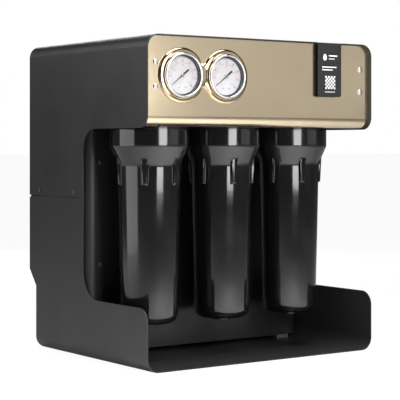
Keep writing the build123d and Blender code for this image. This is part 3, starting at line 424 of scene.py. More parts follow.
def wallHeights(shape, top, low, high):
    # evenly up the straight wall, closer together where a rib starts and along it
    ribFoot = top - shape["ribBottom"]
    even = [low + (high - low) * k / 26 for k in range(1, 27)]
    start = [ribFoot - 3 + 0.5 * k for k in range(18)]
    along = [ribFoot + 6 + 2.5 * k for k in range(int((high - ribFoot - 6) / 2.5))]
    return sorted(set(even + start + along))


def bowlOuter(shape, collar, top, bottom):
    # outer wall from the middle of the foot up to the lip, as (radius, height)
    footRadius, foot = shape["foot"]
    footRound, lip = shape["footRound"], shape["lipRound"]
    base = bottom + foot
    body, corner = shape["bodyBottom"], shape["bottomRound"]
    coneZ, collarZ = top - shape["coneDrop"], top - shape["collarDrop"]
    wallLow, wallHigh = base + corner, coneZ - shape["bodyEase"]
    outer = [(0, bottom), (footRadius - 4, bottom)]
    outer += arc((footRadius - footRound, bottom + footRound), footRound, -90, 0, 4)
    outer += [(footRadius, base - 0.4), (footRadius + 0.6, base)]
    outer += arc((body - corner, wallLow), corner, -86, 0, 14)
    slope = (shape["bodyTop"] - body) / (wallHigh - wallLow)
    outer += [(body + slope * (z - base - corner), z) for z in wallHeights(shape, top, wallLow, wallHigh)]
    coneStart = (shape["bodyTop"] + shape["coneEase"][0], coneZ + shape["coneEase"][1])
    coneEnd = (collar - shape["collarEase"][0], collarZ - shape["collarEase"][1])
    outer += bend((shape["bodyTop"], wallHigh), (shape["bodyTop"] + 0.1, coneZ), coneStart, 6)[1:]
    outer += [mixPoint(coneStart, coneEnd, k / 10) for k in range(1, 11)]
    outer += bend(coneEnd, (collar, collarZ), (collar, collarZ + 3), 6)[1:]
    outer += [(collar, z) for z in (collarZ + 4.2, collarZ + 18)]
    return outer + arc((collar - lip, top - lip), lip, 0, 90, 5)


def bowlInner(shape, top, bottom):
    # inner wall from the lip down to the middle of the spigot that holds the element
    wall, bore, lead, groove = (shape[key] for key in ("wall", "bore", "lead", "groove"))
    ledge = top - shape["ledgeDrop"]
    spigotRadius, spigot = shape["spigot"]
    body, corner = shape["bodyBottom"], shape["bottomRound"]
    floor = bottom + shape["foot"][1] + wall
    throat = shape["bodyTop"] - wall
    inner = [(bore + lead, top), (bore, top - lead)]
    inner += threadTurns(shape["thread"], bore, top - 3, ledge + 2.5)
    inner += [(bore, ledge), (throat + groove["outer"], ledge),
              (throat + groove["outer"], ledge - groove["deep"]),
              (throat + groove["inner"], ledge - groove["deep"]), (throat + groove["inner"], ledge),
              (throat, ledge), (throat, top - shape["coneDrop"])]
    inner += arc((body - corner, floor + corner - wall), corner - wall, 0, -90, 8)
    inner += [(spigotRadius + lead, floor), (spigotRadius, floor + lead)]
    inner += [(spigotRadius, floor + spigot - lead), (spigotRadius - lead, floor + spigot)]
    inner.append((0, floor + spigot))
    return inner


def threadTurns(thread, radius, high, low):
    # shallow grooves that read as a thread
    points = []
    for turn in range(int((high - low) / thread["pitch"])):
        z = high - turn * thread["pitch"]
        out = radius + thread["deep"]
        points += [(radius, z), (out, z - 0.8), (out, z - 1.8), (radius, z - 2.6)]
    return points


def mixPoint(a, b, t):
    return tuple(p + (q - p) * t for p, q in zip(a, b))


def bend(a, corner, b, steps):
    # a smooth corner between two points
    return [mixPoint(mixPoint(a, corner, k / steps), mixPoint(corner, b, k / steps), k / steps)
            for k in range(steps + 1)]


def ribAngles(shape):
    # more points where a rib's edges turn, so they stay crisp
    edge = math.degrees(math.asin(shape["ribWidth"] / 2 / shape["bodyTop"]))
    ease = math.degrees(shape["ribEase"] / shape["bodyTop"])
    per = [edge - ease + 2 * ease * k / 8 for k in range(9)]
    between = [edge + ease + (30 - edge - ease) * k / 10 for k in range(1, 11)]
    half = sorted([0.0, edge * 0.45] + per + between)
    whole = [-a for a in reversed(half[1:])] + half
    return [a + step * 360 / shape["ribCount"] for step in range(shape["ribCount"]) for a in whole[:-1]]


def ribLift(shape, radius, z, angle, top):
    # how far the outer wall stands out for a rib
    high, low = top - shape["ribTop"], top - shape["ribBottom"]
    if z < low or z > high + 12:
        return 0.0
    share = min(1.0, (z - low) / (high - low))
    reach = shape["ribReach"][1] + (shape["ribReach"][0] - shape["ribReach"][1]) * share
    rise = math.sqrt(max(0.0, 1 - (1 - min(1.0, (z - low) / 3.5)) ** 2))
    width = shape["ribFoot"] + (shape["ribWidth"] - shape["ribFoot"]) * share
    off = abs((angle + 30) % 60 - 30)
    across = math.radians(off) * radius - width / 2
    ease = shape["ribEase"]
    t = min(1.0, max(0.0, (ease - across) / (2 * ease)))
    return max(0.0, reach - radius) * rise * t * t * (3 - 2 * t)


def buildBowl(key):
    shape = bowlShape
    low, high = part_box("bowl_" + key)
    x, y = (low[0] + high[0]) / 2, (low[1] + high[1]) / 2
    collar = (high[0] - low[0]) / 2 / mm
    top, bottom = high[2] / mm, low[2] / mm
    outer, inner = bowlOuter(shape, collar, top, bottom), bowlInner(shape, top, bottom)
    angles = ribAngles(shape)
    turn = shape["turns"][key]
    points, rings = [], []
    for index, (radius, z) in enumerate(outer + inner):
        if radius < 1e-6:
            rings.append([len(points)])
            points.append((x, y, z * mm))
            continue
        rings.append(list(range(len(points), len(points) + len(angles))))
        for angle in angles:
            lift = ribLift(shape, radius, z, angle, top) if index < len(outer) else 0.0
            a = math.radians(angle + turn)
            r = (radius + lift) * mm
            points.append((x + r * math.cos(a), y + r * math.sin(a), z * mm))
    faces = []
    for a, b in zip(rings, rings[1:]):
        faces += stripFaces(a, b, len(angles))
    piece = meshObject("filterBowl_" + key, points, faces, finishes["bowl_black"])
    faceOutwards(piece.data)
    shadeByAngle(piece.data, 42)
    return place(piece, bodyOf["bowl_" + key], "bowl_black", "bowl_" + key)


for key in bowlShape["turns"]:
    buildBowl(key)
print("bowls built")


# Gauges

# sizes in mm, angles in degrees clockwise from the top; "out" values count forwards from the fascia
gauge = {
    "rimOut": 6.0, "trimOuter": 42.0, "trimInner": 34.1, "trimBlend": 5.0, "trimRise": 4.1, "trimFoot": 0.5,
    "bezel": (33.6, 30.3), "bezelSeat": 31.15, "dialRing": (28.0, 30.2), "dialOut": 2.6,
    "ticks": {"count": 81, "inner": 25.2, "outer": 27.2, "start": 232.0, "sweep": 262.0,
              "fineWidth": 0.24, "mainWidth": 0.55, "lineWidth": 0.28},
    "innerTicks": {"count": 41, "length": 1.1, "width": 0.16, "mainLength": 2.0, "mainWidth": 0.36,
                   "lineWidth": 0.34},
    "numbers": ["0", "2", "4", "6", "8", "10", "12", "14", "16"], "numberRadius": 22.2, "numberSize": 4.3,
    "innerArc": 19.4, "innerNumbers": ["0", "50", "100", "150", "200"], "innerRadius": 15.4, "innerSize": 3.0,
    "ink": {"thick": 0.06, "out": 0.04, "arcLow": 0.02, "arcHigh": 0.07, "arcSteps": 90},
    "screws": {"x": 5.6, "z": 18.2, "radius": 1.1},
}
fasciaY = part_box("gauge_case_left")[0][1] + gauge["rimOut"] * mm
gaugeCentres = {}
for side in ("left", "right"):
    low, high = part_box("gauge_bezel_" + side)
    gaugeCentres[side] = ((low[0] + high[0]) / 2, fasciaY, (low[2] + high[2]) / 2)


def trimHeight(distance):
    # the trim's rounded section: forward distance for a distance from the nearest gauge's centre, in mm
    inner, outer = gauge["trimInner"], gauge["trimOuter"]
    t = (distance - inner) / (outer - inner)
    t = min(1.0, max(0.0, t))
    crown = 0.12  # share of the width, from the inner edge, where the section is highest
    fall = math.sqrt(max(0.0, 1 - (max(0.0, t - crown) / 0.88) ** 2.3))
    climb = 0.82 + 0.18 * min(1.0, t / crown)
    return gauge["trimFoot"] + gauge["trimRise"] * fall * climb


def buildTrim():
    left, right = (gaugeCentres[s] for s in ("left", "right"))
    centres = [np.array((c[0], c[2])) / mm for c in (left, right)]
    middle = (centres[0][0] + centres[1][0]) / 2
    blend = gauge["trimBlend"]

    def nearness(p):
        # a smooth distance to the two centres, so the waist between the rings is rounded
        d = [float(np.hypot(*(p - c))) for c in centres]
        gap = max(0.0, blend * 2 - abs(d[0] - d[1])) / (blend * 2)
        return min(d) - gap * gap * blend * 0.5

    points, faces, count, steps = [], [], 288, 22
    for which, centre in enumerate(centres):
        sign = 1 if which == 0 else -1
        rows = []
        for k in range(count):
            angle = 2 * math.pi * k / count
            way = np.array((math.cos(angle), math.sin(angle)))
            far = gauge["trimOuter"] + 14
            if way[0] * sign > 1e-9:
                far = min(far, (middle - centre[0]) * sign / (way[0] * sign))
            lo, hi = gauge["trimInner"], far
            if nearness(centre + way * far) > gauge["trimOuter"]:
                for _ in range(30):
                    mid = (lo + hi) / 2
                    lo, hi = (mid, hi) if nearness(centre + way * mid) < gauge["trimOuter"] else (lo, mid)
            reach = hi
            row = []
            for step in range(steps + 1):
                share = 1 - (1 - step / steps) ** 1.7
                r = gauge["trimInner"] + (reach - gauge["trimInner"]) * share
                p = centre + way * r
                row.append(len(points))
                out = trimHeight(nearness(p))
                points.append((p[0] * mm, fasciaY - out * mm, p[1] * mm))
            row.append(len(points))
            points.append((points[row[-2]][0], fasciaY - 0.05 * mm, points[row[-2]][2]))
            inner = centre + way * gauge["trimInner"]
            row.insert(0, len(points))
            points.append((inner[0] * mm, fasciaY - 0.05 * mm, inner[1] * mm))
            rows.append(row)
        for k in range(count):
            a, b = rows[k], rows[(k + 1) % count]
            for n in range(len(a) - 1):
                faces.append((a[n], a[n + 1], b[n + 1], b[n]))
    piece = meshObject("gaugeTrim", points, faces, finishes["gold_trim"])
    faceOutwards(piece.data)
    shadeByAngle(piece.data, 50)
    return place(piece, "cabinet", "gold_trim", "gauge_trim")


def buildBezel(side):
    # points are (radius, distance in front of the fascia)
    outer, inner = gauge["bezel"]
    seat = gauge["bezelSeat"]
    profile = [(seat, 3.7), (outer - 0.6, 3.7), (outer, 4.3), (outer, 8.2)]
    profile += arc((outer - 1.5, 8.7), 1.5, 10, 90, 7) + arc((inner + 1.1, 9.1), 1.05, 90, 180, 6)
    profile += [(inner, 8.6), (inner - 0.05, 8.0), (seat, 8.0)]
    piece = spun("gaugeBezel_" + side, profile, gaugeCentres[side],
                 finishes["chrome_bezel"], "Y", 160, 30)
    return place(piece, "cabinet", "chrome_bezel", "gauge_bezel_" + side)


def buildDialRing(side):
    # the bright cone inside the glass and the black ring round the dial
    low, high = gauge["dialRing"]
    cone = [(high - 0.9, 4.9), (high - 0.8, 5.9), (29.35, 5.9), (29.35, 4.9)]
    ring = [(low, gauge["dialOut"] + 0.02), (low + 0.15, gauge["dialOut"] + 0.5), (29.2, 4.8), (29.35, 4.8),
            (29.35, gauge["dialOut"] + 0.02)]
    black = spun("dialRing_" + side, ring, gaugeCentres[side],
                 finishes["gauge_black"], "Y", 128, 30)
    place(black, "cabinet", "gauge_black")
    bright = spun("lensSeat_" + side, cone, gaugeCentres[side],
                  finishes["chrome_bezel"], "Y", 128, 30)
    place(bright, "cabinet", "chrome_bezel")


def realCopies(tree, copies, into, out):
    # end a geometry tree: its copies become one mesh in the given material
    real = tree.nodes.new("GeometryNodeRealizeInstances")
    colour = tree.nodes.new("GeometryNodeSetMaterial")
    tree.links.new(copies.outputs["Instances"], real.inputs["Geometry"])
    tree.links.new(real.outputs["Geometry"], colour.inputs["Geometry"])
    tree.links.new(into.outputs["Material"], colour.inputs["Material"])
    tree.links.new(colour.outputs["Geometry"], out.inputs["Geometry"])
    return tree


def markTree():
    # marks that repeat round an arc, each a small bar
    tree = bpy.data.node_groups.new("marksRoundArc", "GeometryNodeTree")
    face = tree.interface
    face.new_socket("Geometry", in_out="INPUT", socket_type="NodeSocketGeometry")
    for label, kind, value in (("Count", "NodeSocketInt", 9), ("Radius", "NodeSocketFloat", 0.02),
                               ("Length", "NodeSocketFloat", 0.002), ("Width", "NodeSocketFloat", 0.0003),
                               ("Thickness", "NodeSocketFloat", 0.00006), ("Start", "NodeSocketFloat", 0.0),
                               ("Sweep", "NodeSocketFloat", 1.0), ("Centre", "NodeSocketVector", None),
                               ("Material", "NodeSocketMaterial", None)):
        socket = face.new_socket(label, in_out="INPUT", socket_type=kind)
        if value is not None:
            socket.default_value = value
    face.new_socket("Geometry", in_out="OUTPUT", socket_type="NodeSocketGeometry")
    new, link = tree.nodes.new, tree.links.new
    into, out = new("NodeGroupInput"), new("NodeGroupOutput")

    def combine(operation, a, b=None):
        node = new("ShaderNodeMath")
        node.operation = operation
        for socket, value in zip(node.inputs, (a, b)):
            if value is None:
                continue
            if hasattr(value, "links"):
                link(value, socket)
            else:
                socket.default_value = value
        return node.outputs["Value"]

    line = new("GeometryNodeMeshLine")
    link(into.outputs["Count"], line.inputs["Count"])
    index = new("GeometryNodeInputIndex").outputs["Index"]
    share = combine("DIVIDE", index, combine("SUBTRACT", into.outputs["Count"], 1.0))
    angle = combine("ADD", into.outputs["Start"], combine("MULTIPLY", share, into.outputs["Sweep"]))
    spot = new("ShaderNodeCombineXYZ")
    link(combine("MULTIPLY", combine("SINE", angle), into.outputs["Radius"]), spot.inputs["X"])
    link(combine("MULTIPLY", combine("COSINE", angle), into.outputs["Radius"]), spot.inputs["Z"])
    moved = new("ShaderNodeVectorMath")
    link(spot.outputs["Vector"], moved.inputs[0])
    link(into.outputs["Centre"], moved.inputs[1])
    setPlace = new("GeometryNodeSetPosition")
    link(line.outputs["Mesh"], setPlace.inputs["Geometry"])
    link(moved.outputs["Vector"], setPlace.inputs["Position"])
    size = new("ShaderNodeCombineXYZ")
    link(into.outputs["Width"], size.inputs["X"])
    link(into.outputs["Thickness"], size.inputs["Y"])
    link(into.outputs["Length"], size.inputs["Z"])
    bar = new("GeometryNodeMeshCube")
    link(size.outputs["Vector"], bar.inputs["Size"])
    turn = new("ShaderNodeCombineXYZ")
    link(angle, turn.inputs["Y"])
    toTurn = new("FunctionNodeEulerToRotation")
    link(turn.outputs["Vector"], toTurn.inputs["Euler"])
    copies = new("GeometryNodeInstanceOnPoints")
    link(setPlace.outputs["Geometry"], copies.inputs["Points"])
    link(bar.outputs["Mesh"], copies.inputs["Instance"])
    link(toTurn.outputs["Rotation"], copies.inputs["Rotation"])
    return realCopies(tree, copies, into, out)


def grown(name, tree, values, base=None):
    # run a geometry tree and keep its result as a plain mesh
    piece = bpy.data.objects.new(name, base or bpy.data.meshes.new(name))
    bpy.context.scene.collection.objects.link(piece)
    step = piece.modifiers.new(tree.name, "NODES")
    step.node_group = tree
    for item in tree.interface.items_tree:
        if item.in_out == "INPUT" and item.name in values:
            step[item.identifier] = values[item.name]
    settle(piece)
    return piece


marks = markTree()


def joined(name, pieces):
    mesh = bpy.data.meshes.new(name)
    work = bmesh.new()
    materials = []
    for piece in pieces:
        start = len(work.faces)
        work.from_mesh(piece.data)
        work.faces.ensure_lookup_table()
        for face in work.faces[start:]:
            slotMaterial = piece.data.materials[face.material_index]
            if slotMaterial not in materials:
                materials.append(slotMaterial)
            face.material_index = materials.index(slotMaterial)
    work.to_mesh(mesh)
    work.free()
    for material in materials:
        mesh.materials.append(material)
    whole = bpy.data.objects.new(name, mesh)
    bpy.context.scene.collection.objects.link(whole)
    for piece in pieces:
        old = piece.data
        bpy.data.objects.remove(piece)
        bpy.data.meshes.remove(old)
    return whole


def printedText(text, size, centre, material):
    # a figure lying on the dial, facing the front, as a thin mesh
    curve = bpy.data.curves.new("figure", "FONT")
    curve.body = text
    curve.size = size
    curve.align_x = "CENTER"
    curve.align_y = "CENTER"
    curve.extrude = 0.00003
    curve.resolution_u = 3
    figure = bpy.data.objects.new("figure", curve)
    bpy.context.scene.collection.objects.link(figure)
    graph = bpy.context.evaluated_depsgraph_get()
    mesh = bpy.data.meshes.new_from_object(figure.evaluated_get(graph))
    mesh.transform(Matrix.Translation(centre) @ Matrix.Rotation(math.pi / 2, 4, "X"))
    mesh.materials.clear()
    mesh.materials.append(material)
    bpy.data.objects.remove(figure)
    bpy.data.curves.remove(curve)
    piece = bpy.data.objects.new("figure", mesh)
    bpy.context.scene.collection.objects.link(piece)
    return piece


def onDial(centre, radius, degrees, lift=0.06):
    # degrees run clockwise from the top
    a = math.radians(degrees)
    return Vector((centre[0] + radius * math.sin(a) * mm, centre[1] - (gauge["dialOut"] + lift) * mm,
                   centre[2] + radius * math.cos(a) * mm))


def dialArc(name, centre, radius, width, material):
    ticks, ink = gauge["ticks"], gauge["ink"]
    count = ink["arcSteps"]
    points, faces = [], []
    for k in range(count + 1):
        degrees = ticks["start"] + ticks["sweep"] * k / count
        for r in (radius - width / 2, radius + width / 2):
            for lift in (ink["arcLow"], ink["arcHigh"]):
                points.append(onDial(centre, r, degrees, lift))
    for k in range(count):
        a, b = 4 * k, 4 * k + 4
        faces += [(a, a + 1, b + 1, b), (a + 2, a + 3, b + 3, b + 2), (a, a + 2, b + 2, b),
                  (a + 1, a + 3, b + 3, b + 1)]
    faces += [(0, 1, 3, 2), (4 * count, 4 * count + 1, 4 * count + 3, 4 * count + 2)]
    piece = meshObject(name, points, faces, material)
    faceOutwards(piece.data)
    return piece


def buildDialPrint(side):
    centre = gaugeCentres[side]
    ticks = gauge["ticks"]
    start, sweep = math.radians(ticks["start"]), math.radians(ticks["sweep"])
    inner, ink = gauge["innerTicks"], gauge["ink"]
    middle = Vector(centre) - Vector((0, (gauge["dialOut"] + ink["out"]) * mm, 0))
    length = ticks["outer"] - ticks["inner"]
    common = {"Start": start, "Sweep": sweep, "Centre": middle, "Thickness": ink["thick"] * mm}
    pieces = [
        grown("fineTicks", marks, {**common, "Count": ticks["count"],
                                   "Radius": (ticks["outer"] - length * 0.3) * mm,
                                   "Length": length * 0.6 * mm, "Width": ticks["fineWidth"] * mm,
                                   "Material": blackInk}),
        grown("mainTicks", marks, {**common, "Count": len(gauge["numbers"]), "Material": blackInk,
                                   "Radius": (ticks["outer"] - length * 0.5) * mm, "Length": length * mm,
                                   "Width": ticks["mainWidth"] * mm}),
        grown("innerTicks", marks, {**common, "Count": inner["count"],
                                    "Radius": (gauge["innerArc"] - 0.6) * mm,
                                    "Length": inner["length"] * mm, "Width": inner["width"] * mm,
                                    "Material": redInk}),
        grown("innerMain", marks, {**common, "Count": len(gauge["innerNumbers"]), "Material": redInk,
                                   "Radius": (gauge["innerArc"] - 1.0) * mm,
                                   "Length": inner["mainLength"] * mm, "Width": inner["mainWidth"] * mm}),
        dialArc("outerLine", centre, ticks["outer"], ticks["lineWidth"], blackInk),
        dialArc("innerLine", centre, gauge["innerArc"], inner["lineWidth"], redInk),
    ]
    for row, radius, size, ink in (("numbers", gauge["numberRadius"], gauge["numberSize"], blackInk),
                                   ("innerNumbers", gauge["innerRadius"], gauge["innerSize"], redInk)):
        for k, text in enumerate(gauge[row]):
            degrees = ticks["start"] + ticks["sweep"] * k / (len(gauge[row]) - 1)
            pieces.append(printedText(text, size * mm, onDial(centre, radius, degrees), ink))
    return place(joined("dialPrint_" + side, pieces), "cabinet", "gauge_needle")


def buildDialScrews(side):
    x, z, radius = (gauge["screws"][key] for key in ("x", "z", "radius"))
    centre = gaugeCentres[side]
    heads = []
    for sign in (-1, 1):
        profile = [(0, 0.55), (radius * 0.6, 0.5), (radius, 0.25), (radius, 0.0), (0, 0.0)]
        middle = (centre[0] + sign * x * mm, centre[1] - gauge["dialOut"] * mm, centre[2] - z * mm)
        heads.append(spun("dialScrew", profile, middle, hubGrey, "Y", 20, 30))
    return place(joined("dialScrews_" + side, heads), "cabinet", "chrome_bezel")


# sizes in mm, "rest" in degrees clockwise from the top
needle = {"reach": 22.0, "tip": 0.25, "root": 0.75, "neck": 4.0, "tail": 14.0, "tailWidth": 1.35,
          "thick": 0.5, "hub": 2.7, "rest": 232.0}


def buildNeedle(side):
    centre = gaugeCentres[side]
    back = gauge["dialOut"] + 1.0
    half = [(needle["tip"], needle["reach"]), (needle["root"], 0.0), (needle["root"], -needle["neck"]),
            (needle["tailWidth"], -needle["neck"] - 0.6), (needle["tailWidth"], -needle["tail"])]
    outline = half + [(-u, v) for u, v in reversed(half)]
    turn = math.radians(needle["rest"])
    points, faces = [], []
    for out in (back, back + needle["thick"]):
        for u, v in outline:
            x = u * math.cos(turn) + v * math.sin(turn)
            z = -u * math.sin(turn) + v * math.cos(turn)
            points.append((centre[0] + x * mm, centre[1] - out * mm, centre[2] + z * mm))
    n = len(outline)
    faces = [tuple(range(n)), tuple(range(2 * n - 1, n - 1, -1))]
    faces += [(k, (k + 1) % n, (k + 1) % n + n, k + n) for k in range(n)]
    blade = meshObject("blade", points, faces, finishes["gauge_needle"], 30)
    faceOutwards(blade.data)
    reach = needle["hub"]
    cap = [(0, 1.5), (1.2, 1.45), (reach - 0.5, 1.1), (reach, 0.6), (reach, -0.3), (0, -0.3)]
    hub = spun("hub", [(r, a + back) for r, a in cap], centre, hubGrey, "Y", 40, 30)
    pin = [(0, 0), (0.75, 0), (0.75, -9), (0, -9)]
    spindle = spun("spindle", [(r, a + back) for r, a in pin], centre, hubGrey, "Y", 20, 30)
    piece = joined("needle_" + side, [blade, hub, spindle])
    shadeByAngle(piece.data, 30)
    return place(piece, "pointer_" + side, "gauge_needle", "gauge_pointer_" + side)


def buildLens(side):
    profile = [(0, 7.75), (29.6, 7.75), (30.6, 7.5), (30.9, 6.9), (30.9, 6.15), (0, 6.15)]
    piece = spun("gaugeLens_" + side, profile, gaugeCentres[side],
                 finishes["gauge_glass"], "Y", 96, 30)
    return place(piece, "cabinet", "gauge_glass", "gauge_lens_" + side)


buildTrim()
for side in gaugeCentres:
    buildBezel(side)
    buildDialRing(side)
    buildDialPrint(side)
    buildDialScrews(side)
    buildNeedle(side)
    buildLens(side)
print("gauges built")


# Screws

def screwTree():
    # one screw copied to every point, turned to face along the point's "aim"
    tree = bpy.data.node_groups.new("screwsOnPoints", "GeometryNodeTree")
    face = tree.interface
    face.new_socket("Geometry", in_out="INPUT", socket_type="NodeSocketGeometry")
    for label, kind in (("Screw", "NodeSocketObject"), ("Material", "NodeSocketMaterial"),
                        ("Seed", "NodeSocketInt")):
        face.new_socket(label, in_out="INPUT", socket_type=kind)
    face.new_socket("Geometry", in_out="OUTPUT", socket_type="NodeSocketGeometry")
    new, link = tree.nodes.new, tree.links.new
    into, out = new("NodeGroupInput"), new("NodeGroupOutput")
    screw = new("GeometryNodeObjectInfo")
    link(into.outputs["Screw"], screw.inputs["Object"])
    aim = new("GeometryNodeInputNamedAttribute")
    aim.data_type = "FLOAT_VECTOR"
    aim.inputs["Name"].default_value = "aim"
    spin = new("FunctionNodeRandomValue")
    spin.data_type = "FLOAT"
    spin.inputs[3].default_value = 6.283
    link(into.outputs["Seed"], spin.inputs["Seed"])
    own = new("ShaderNodeCombineXYZ")
    link(spin.outputs[1], own.inputs["Z"])
    ownTurn = new("FunctionNodeEulerToRotation")
    link(own.outputs["Vector"], ownTurn.inputs["Euler"])
    align = new("FunctionNodeAlignRotationToVector")
    align.axis = "Z"
    link(aim.outputs["Attribute"], align.inputs["Vector"])
    both = new("FunctionNodeRotateRotation")
    both.rotation_space = "LOCAL"
    link(align.outputs["Rotation"], both.inputs["Rotation"])
    link(ownTurn.outputs["Rotation"], both.inputs["Rotate By"])
    copies = new("GeometryNodeInstanceOnPoints")
    link(into.outputs["Geometry"], copies.inputs["Points"])
    link(screw.outputs["Geometry"], copies.inputs["Instance"])
    link(both.outputs["Rotation"], copies.inputs["Rotation"])
    return realCopies(tree, copies, into, out)


def screwPattern(head, rise, shank, length, socket):
    # a button head with a six-sided socket, its seat at the origin and its head along +Z
    dome = [(0, rise - 1.2), (socket * 0.86, rise - 1.2), (socket * 0.9, rise - 0.02), (socket + 0.25, rise)]
    flat, rim = socket + 0.25, 0.25
    for k in range(1, 8):
        a = math.radians(90 * k / 7)
        dome.append((flat + (head - socket - 0.25) * math.sin(a), rim + (rise - rim) * math.cos(a)))
    dome += [(head, 0.0), (shank, 0.0), (shank, -length + 0.5), (shank - 0.5, -length), (0, -length)]
    pattern = spun("screwPattern", dome, (0, 0, 0), finishes["bright_screw"],
                   "Z", 30, 30)
    hexed = [v for v in pattern.data.vertices
             if v.co.z > (rise - 1.3) * mm and math.hypot(v.co.x, v.co.y) < (socket + 0.1) * mm]
    for v in hexed:  # pull the inner ring out to a hexagon
        r, a = math.hypot(v.co.x, v.co.y), math.atan2(v.co.y, v.co.x)
        if r > 1e-6:
            swing = (a + math.pi / 6) % (math.pi / 3) - math.pi / 6
            grow = math.cos(math.pi / 6) / math.cos(swing) * 1.1
            v.co.x, v.co.y = r * grow * math.cos(a), r * grow * math.sin(a)
    return pattern


screws = screwTree()
# sizes in mm
screwField = {
    "fascia": {"head": 4.7, "rise": 2.7, "shank": 2.0, "length": 9.0, "socket": 1.5, "seed": 3},
    "cabinet": {"head": 4.0, "rise": 2.1, "shank": 2.0, "length": 9.0, "socket": 1.4, "seed": 8},
    "head": {"head": 5.0, "rise": 6.0, "shank": 3.0, "length": 14.0, "socket": 2.9, "seed": 5},
}


def screwSpots(node):
    # centre and facing of each screw, read from the separate solids of its CAD node
    work = bmesh.new()
    work.from_mesh(nodes[node].data)
    bmesh.ops.remove_doubles(work, verts=work.verts, dist=2e-6)
    left = set(work.verts)
    spots = []
    while left:
        stack = [left.pop()]
        island = list(stack)
        while stack:
            for edge in stack.pop().link_edges:
                for other in edge.verts:
                    if other in left:
                        left.remove(other)
                        stack.append(other)
                        island.append(other)
        cloud = np.array([v.co for v in island])
        low, high = cloud.min(0), cloud.max(0)
        span = high - low
        axis = int(np.argmax(span))
        others = [k for k in range(3) if k != axis]
        centre = (low + high) / 2
        wide = np.hypot(*(cloud[:, others] - centre[others]).T)
        headSide = cloud[wide > wide.max() * 0.9][:, axis]
        sign = 1 if headSide.mean() > centre[axis] else -1
        aim = np.zeros(3)
        aim[axis] = sign
        seat = centre.copy()
        seat[axis] = headSide.min() if sign > 0 else headSide.max()
        spots.append((tuple(seat), tuple(aim)))
    work.free()
    return sorted(spots)


def buildScrews(kind, node, name):
    shape = screwField[kind]
    spots = screwSpots(node)
    mesh = bpy.data.meshes.new(name)
    mesh.from_pydata([spot for spot, _ in spots], [], [])
    aims = mesh.attributes.new("aim", "FLOAT_VECTOR", "POINT")
    aims.data.foreach_set("vector", [value for _, aim in spots for value in aim])
    pattern = screwPattern(shape["head"], shape["rise"], shape["shank"], shape["length"], shape["socket"])
    material = finishes[slotOf[node]]
    piece = grown(name, screws, {"Screw": pattern, "Material": material, "Seed": shape["seed"]}, mesh)
    bpy.data.objects.remove(pattern)
    shadeByAngle(piece.data, 35)
    return place(piece, "cabinet", slotOf[node], node)


buildScrews("fascia", "fascia_screws", "fasciaScrews")
buildScrews("cabinet", "cabinet_screws", "cabinetScrews")
buildScrews("head", "head_screws", "headScrews")
print("screws placed")


# Badge on the tongue

# sizes in mm: bars and drop are placed from the print's left edge and the floor
badge = {
    "left": 114.2, "ink": 0.05, "sunk": 0.02,
    "bars": [(14, 478, 18, 2.0), (14, 473.5, 12, 1.2), (0, 460, 30, 1.6), (0, 455.6, 22, 1.6),
             (6, 420.5, 21, 0.9)],
    "drop": {"centre": (6, 476.6), "half": 4.2, "height": 5.2, "points": 28},
    "pattern": {"left": 6.5, "bottom": 425.5, "pitch": 3.0, "square": 2.96, "cells": 7},
}


def flatShape(name, outline, material, y):
    # a thin printed shape that faces the front, from an outline of x and z in mm
    points = [(u * mm, y + t * mm, v * mm) for t in (badge["sunk"], -badge["ink"]) for u, v in outline]
    n = len(outline)
    faces = [tuple(range(n)), tuple(range(2 * n - 1, n - 1, -1))]
    faces += [(k, (k + 1) % n, (k + 1) % n + n, k + n) for k in range(n)]
    piece = meshObject(name, points, faces, material, 30)
    faceOutwards(piece.data)
    return piece


def bar(x, z, width, height):
    return [(x, z), (x + width, z), (x + width, z + height), (x, z + height)]


def dropOutline(left):
    drop = badge["drop"]
    x, z = drop["centre"]
    turns = [math.tau * k / drop["points"] - math.pi for k in range(drop["points"])]
    narrowing = [(0.5 + 0.5 * math.cos(a / 2)) ** 0.8 for a in turns]
    return [(left + x + drop["half"] * math.sin(a) * thin, z - drop["height"] * math.cos(a))
            for a, thin in zip(turns, narrowing)]


def buildBadge():
    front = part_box("upper_shell")[0][1]
    left, pattern = badge["left"], badge["pattern"]
    outlines = [dropOutline(left)]
    outlines += [bar(left + x, z, width, height) for x, z, width, height in badge["bars"]]
    for cell in range(pattern["cells"] ** 2):
        row, column = divmod(cell, pattern["cells"])
        if (row + column) % 2:
            continue
        x = left + pattern["left"] + column * pattern["pitch"]
        z = pattern["bottom"] + row * pattern["pitch"]
        outlines.append(bar(x, z, pattern["square"], pattern["square"]))
    shapes = [flatShape("print", outline, whiteInk, front) for outline in outlines]
    return place(joined("badgePrint", shapes), "cabinet", "fitting_plastic")


buildBadge()
print("badge printed")


# Floor, light and camera

